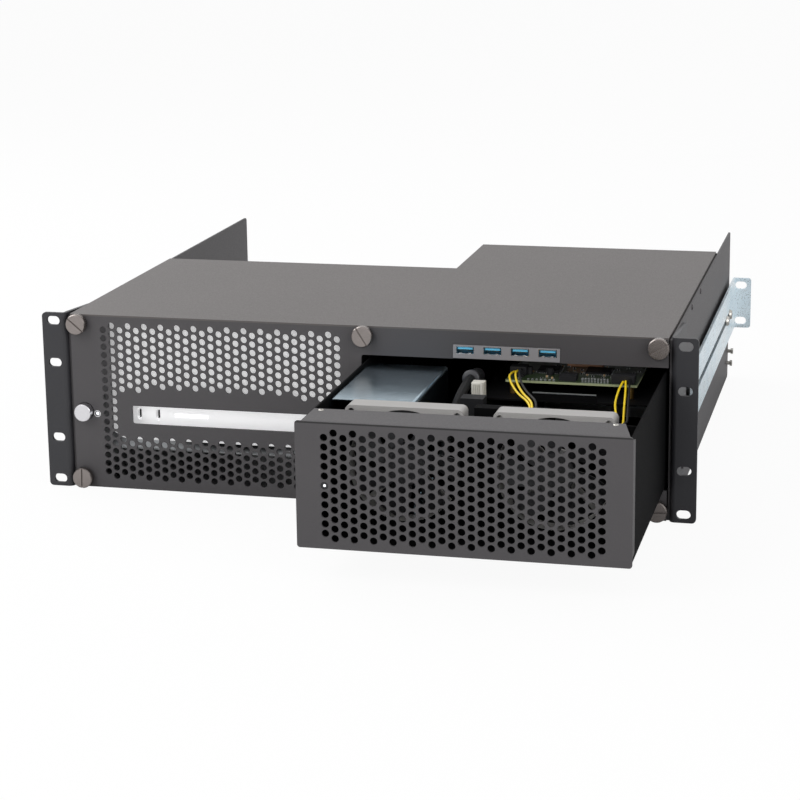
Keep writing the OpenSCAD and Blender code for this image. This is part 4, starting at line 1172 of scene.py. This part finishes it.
@dataclass
class Lamp:
    """One square soft lamp that looks at the chassis. Its place and side are in mm, its power in watts."""

    name: str
    place: Point
    side: float
    power: float

    def hang(self) -> None:
        """Hangs the lamp."""
        data = bpy.data.lights.new(self.name, "AREA")
        data.size = self.side * MM
        data.energy = self.power
        lamp = bpy.data.objects.new(self.name, data)
        lamp.location = Vector(self.place) * MM
        lamp.rotation_euler = (-lamp.location).to_track_quat("-Z", "Y").to_euler()
        bpy.context.scene.collection.objects.link(lamp)


@dataclass
class Studio:
    """The floor, lamps and camera. Angles are in degrees."""

    lens: float = 98.02
    sensor: float = 36.0
    shift: float = -0.075
    camera_at: Point = (390.49, -1462.41, 403.33)
    azimuth: float = 13.8608
    elevation: float = 12.9821
    roll: float = -0.7441
    floor_drop: float = 0.3
    floor_size: float = 12000.0
    paper_colour: str = "#f0f0f0"
    paper_glow: float = 0.94
    sky_level: float = 0.5
    lamps: tuple[Lamp, ...] = (Lamp("key", (-1100, -1500, 1500), 1400, 22),
                               Lamp("fill", (1500, -1100, 700), 1300, 12),
                               Lamp("top", (-1400, 700, 1300), 1400, 18))

    def build(self) -> None:
        """Makes everything that isn't part of the chassis."""
        self.camera()
        self.floor()
        for lamp in self.lamps:
            lamp.hang()
        self.sky()
        bpy.context.scene.view_settings.view_transform = "Standard"

    def camera(self) -> None:
        """Places the camera where the photograph was taken from."""
        data = bpy.data.cameras.new("camera")
        data.lens = self.lens
        data.sensor_width = self.sensor
        data.shift_y = self.shift
        data.clip_start = 0.05
        data.clip_end = 60.0
        camera = bpy.data.objects.new("camera", data)
        azimuth, elevation = math.radians(self.azimuth), math.radians(self.elevation)
        back = Vector((math.sin(azimuth) * math.cos(elevation), -math.cos(azimuth) * math.cos(elevation),
                       math.sin(elevation)))
        right = Vector((0, 0, 1)).cross(back).normalized()
        up = back.cross(right)
        turn = Matrix.Rotation(math.radians(self.roll), 3, back)
        axes = Matrix((turn @ right, turn @ up, back)).transposed()
        camera.matrix_world = Matrix.Translation(Vector(self.camera_at) * MM) @ axes.to_4x4()
        bpy.context.scene.collection.objects.link(camera)
        bpy.context.scene.camera = camera

    def floor(self) -> None:
        """Lays a pale floor just under the chassis."""
        low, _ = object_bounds()
        mesh = bmesh.new()
        bmesh.ops.create_grid(mesh, x_segments=1, y_segments=1, size=self.floor_size / 2 * MM)
        data = bpy.data.meshes.new("floor")
        mesh.to_mesh(data)
        mesh.free()
        floor = bpy.data.objects.new("floor", data)
        floor.location = (0, 0, low.z - self.floor_drop * MM)
        bpy.context.scene.collection.objects.link(floor)
        data.materials.append(self.paper())
        floor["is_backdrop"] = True

    def paper(self) -> bpy.types.Material:
        """Makes pale paper that the camera sees near white but for the object's shadow.

        Returns:
            The floor's material.
        """
        made = bpy.data.materials.new("pale_paper")
        made.use_nodes = True
        tree = made.node_tree
        shader = tree.nodes["Principled BSDF"]
        shader.inputs["Base Color"].default_value = linear(self.paper_colour)
        shader.inputs["Roughness"].default_value = 0.9
        glow = add_node(tree, "Emission", {"Color": (1.0, 1.0, 1.0, 1.0), "Strength": 1.0})
        seen = add_node(tree, "LightPath").outputs["Is Camera Ray"]
        part = add_node(tree, "Math", {1: self.paper_glow}, {0: seen}, operation="MULTIPLY")
        mixed = add_node(tree, "MixShader", {}, {0: part.outputs["Value"], 1: shader.outputs["BSDF"],
                                                 2: glow.outputs["Emission"]})
        tree.links.new(mixed.outputs["Shader"], tree.nodes["Material Output"].inputs["Surface"])
        return made

    def sky(self) -> None:
        """Lights the room evenly, and shows white to the camera and in reflections."""
        world = bpy.data.worlds.new("studio")
        bpy.context.scene.world = world
        world.use_nodes = True
        tree = world.node_tree
        back = tree.nodes["Background"]
        back.inputs["Color"].default_value = (1.0, 1.0, 1.0, 1.0)
        seen = add_node(tree, "LightPath").outputs
        white = add_node(tree, "Math", {}, {0: seen["Is Camera Ray"], 1: seen["Is Glossy Ray"]},
                         operation="MAXIMUM")
        level = add_node(tree, "MapRange", {"To Min": self.sky_level, "To Max": 1.0},
                         {"Value": white.outputs["Value"]})
        tree.links.new(level.outputs["Result"], back.inputs["Strength"])


def main() -> None:
    """Builds the picture in order."""
    logging.basicConfig(level=logging.INFO, format="%(name)s: %(message)s")
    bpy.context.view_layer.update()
    Studio().build()
    for assembly in (Shell(), RackEars(), FrontPanel(), DataPorts(), Computer(), Sled(), Fans(),
                     PowerSupply(), CarrierBoard(), Backplane(), RearBrackets()):
        assembly.build()


if __name__ == "__main__":
    main()
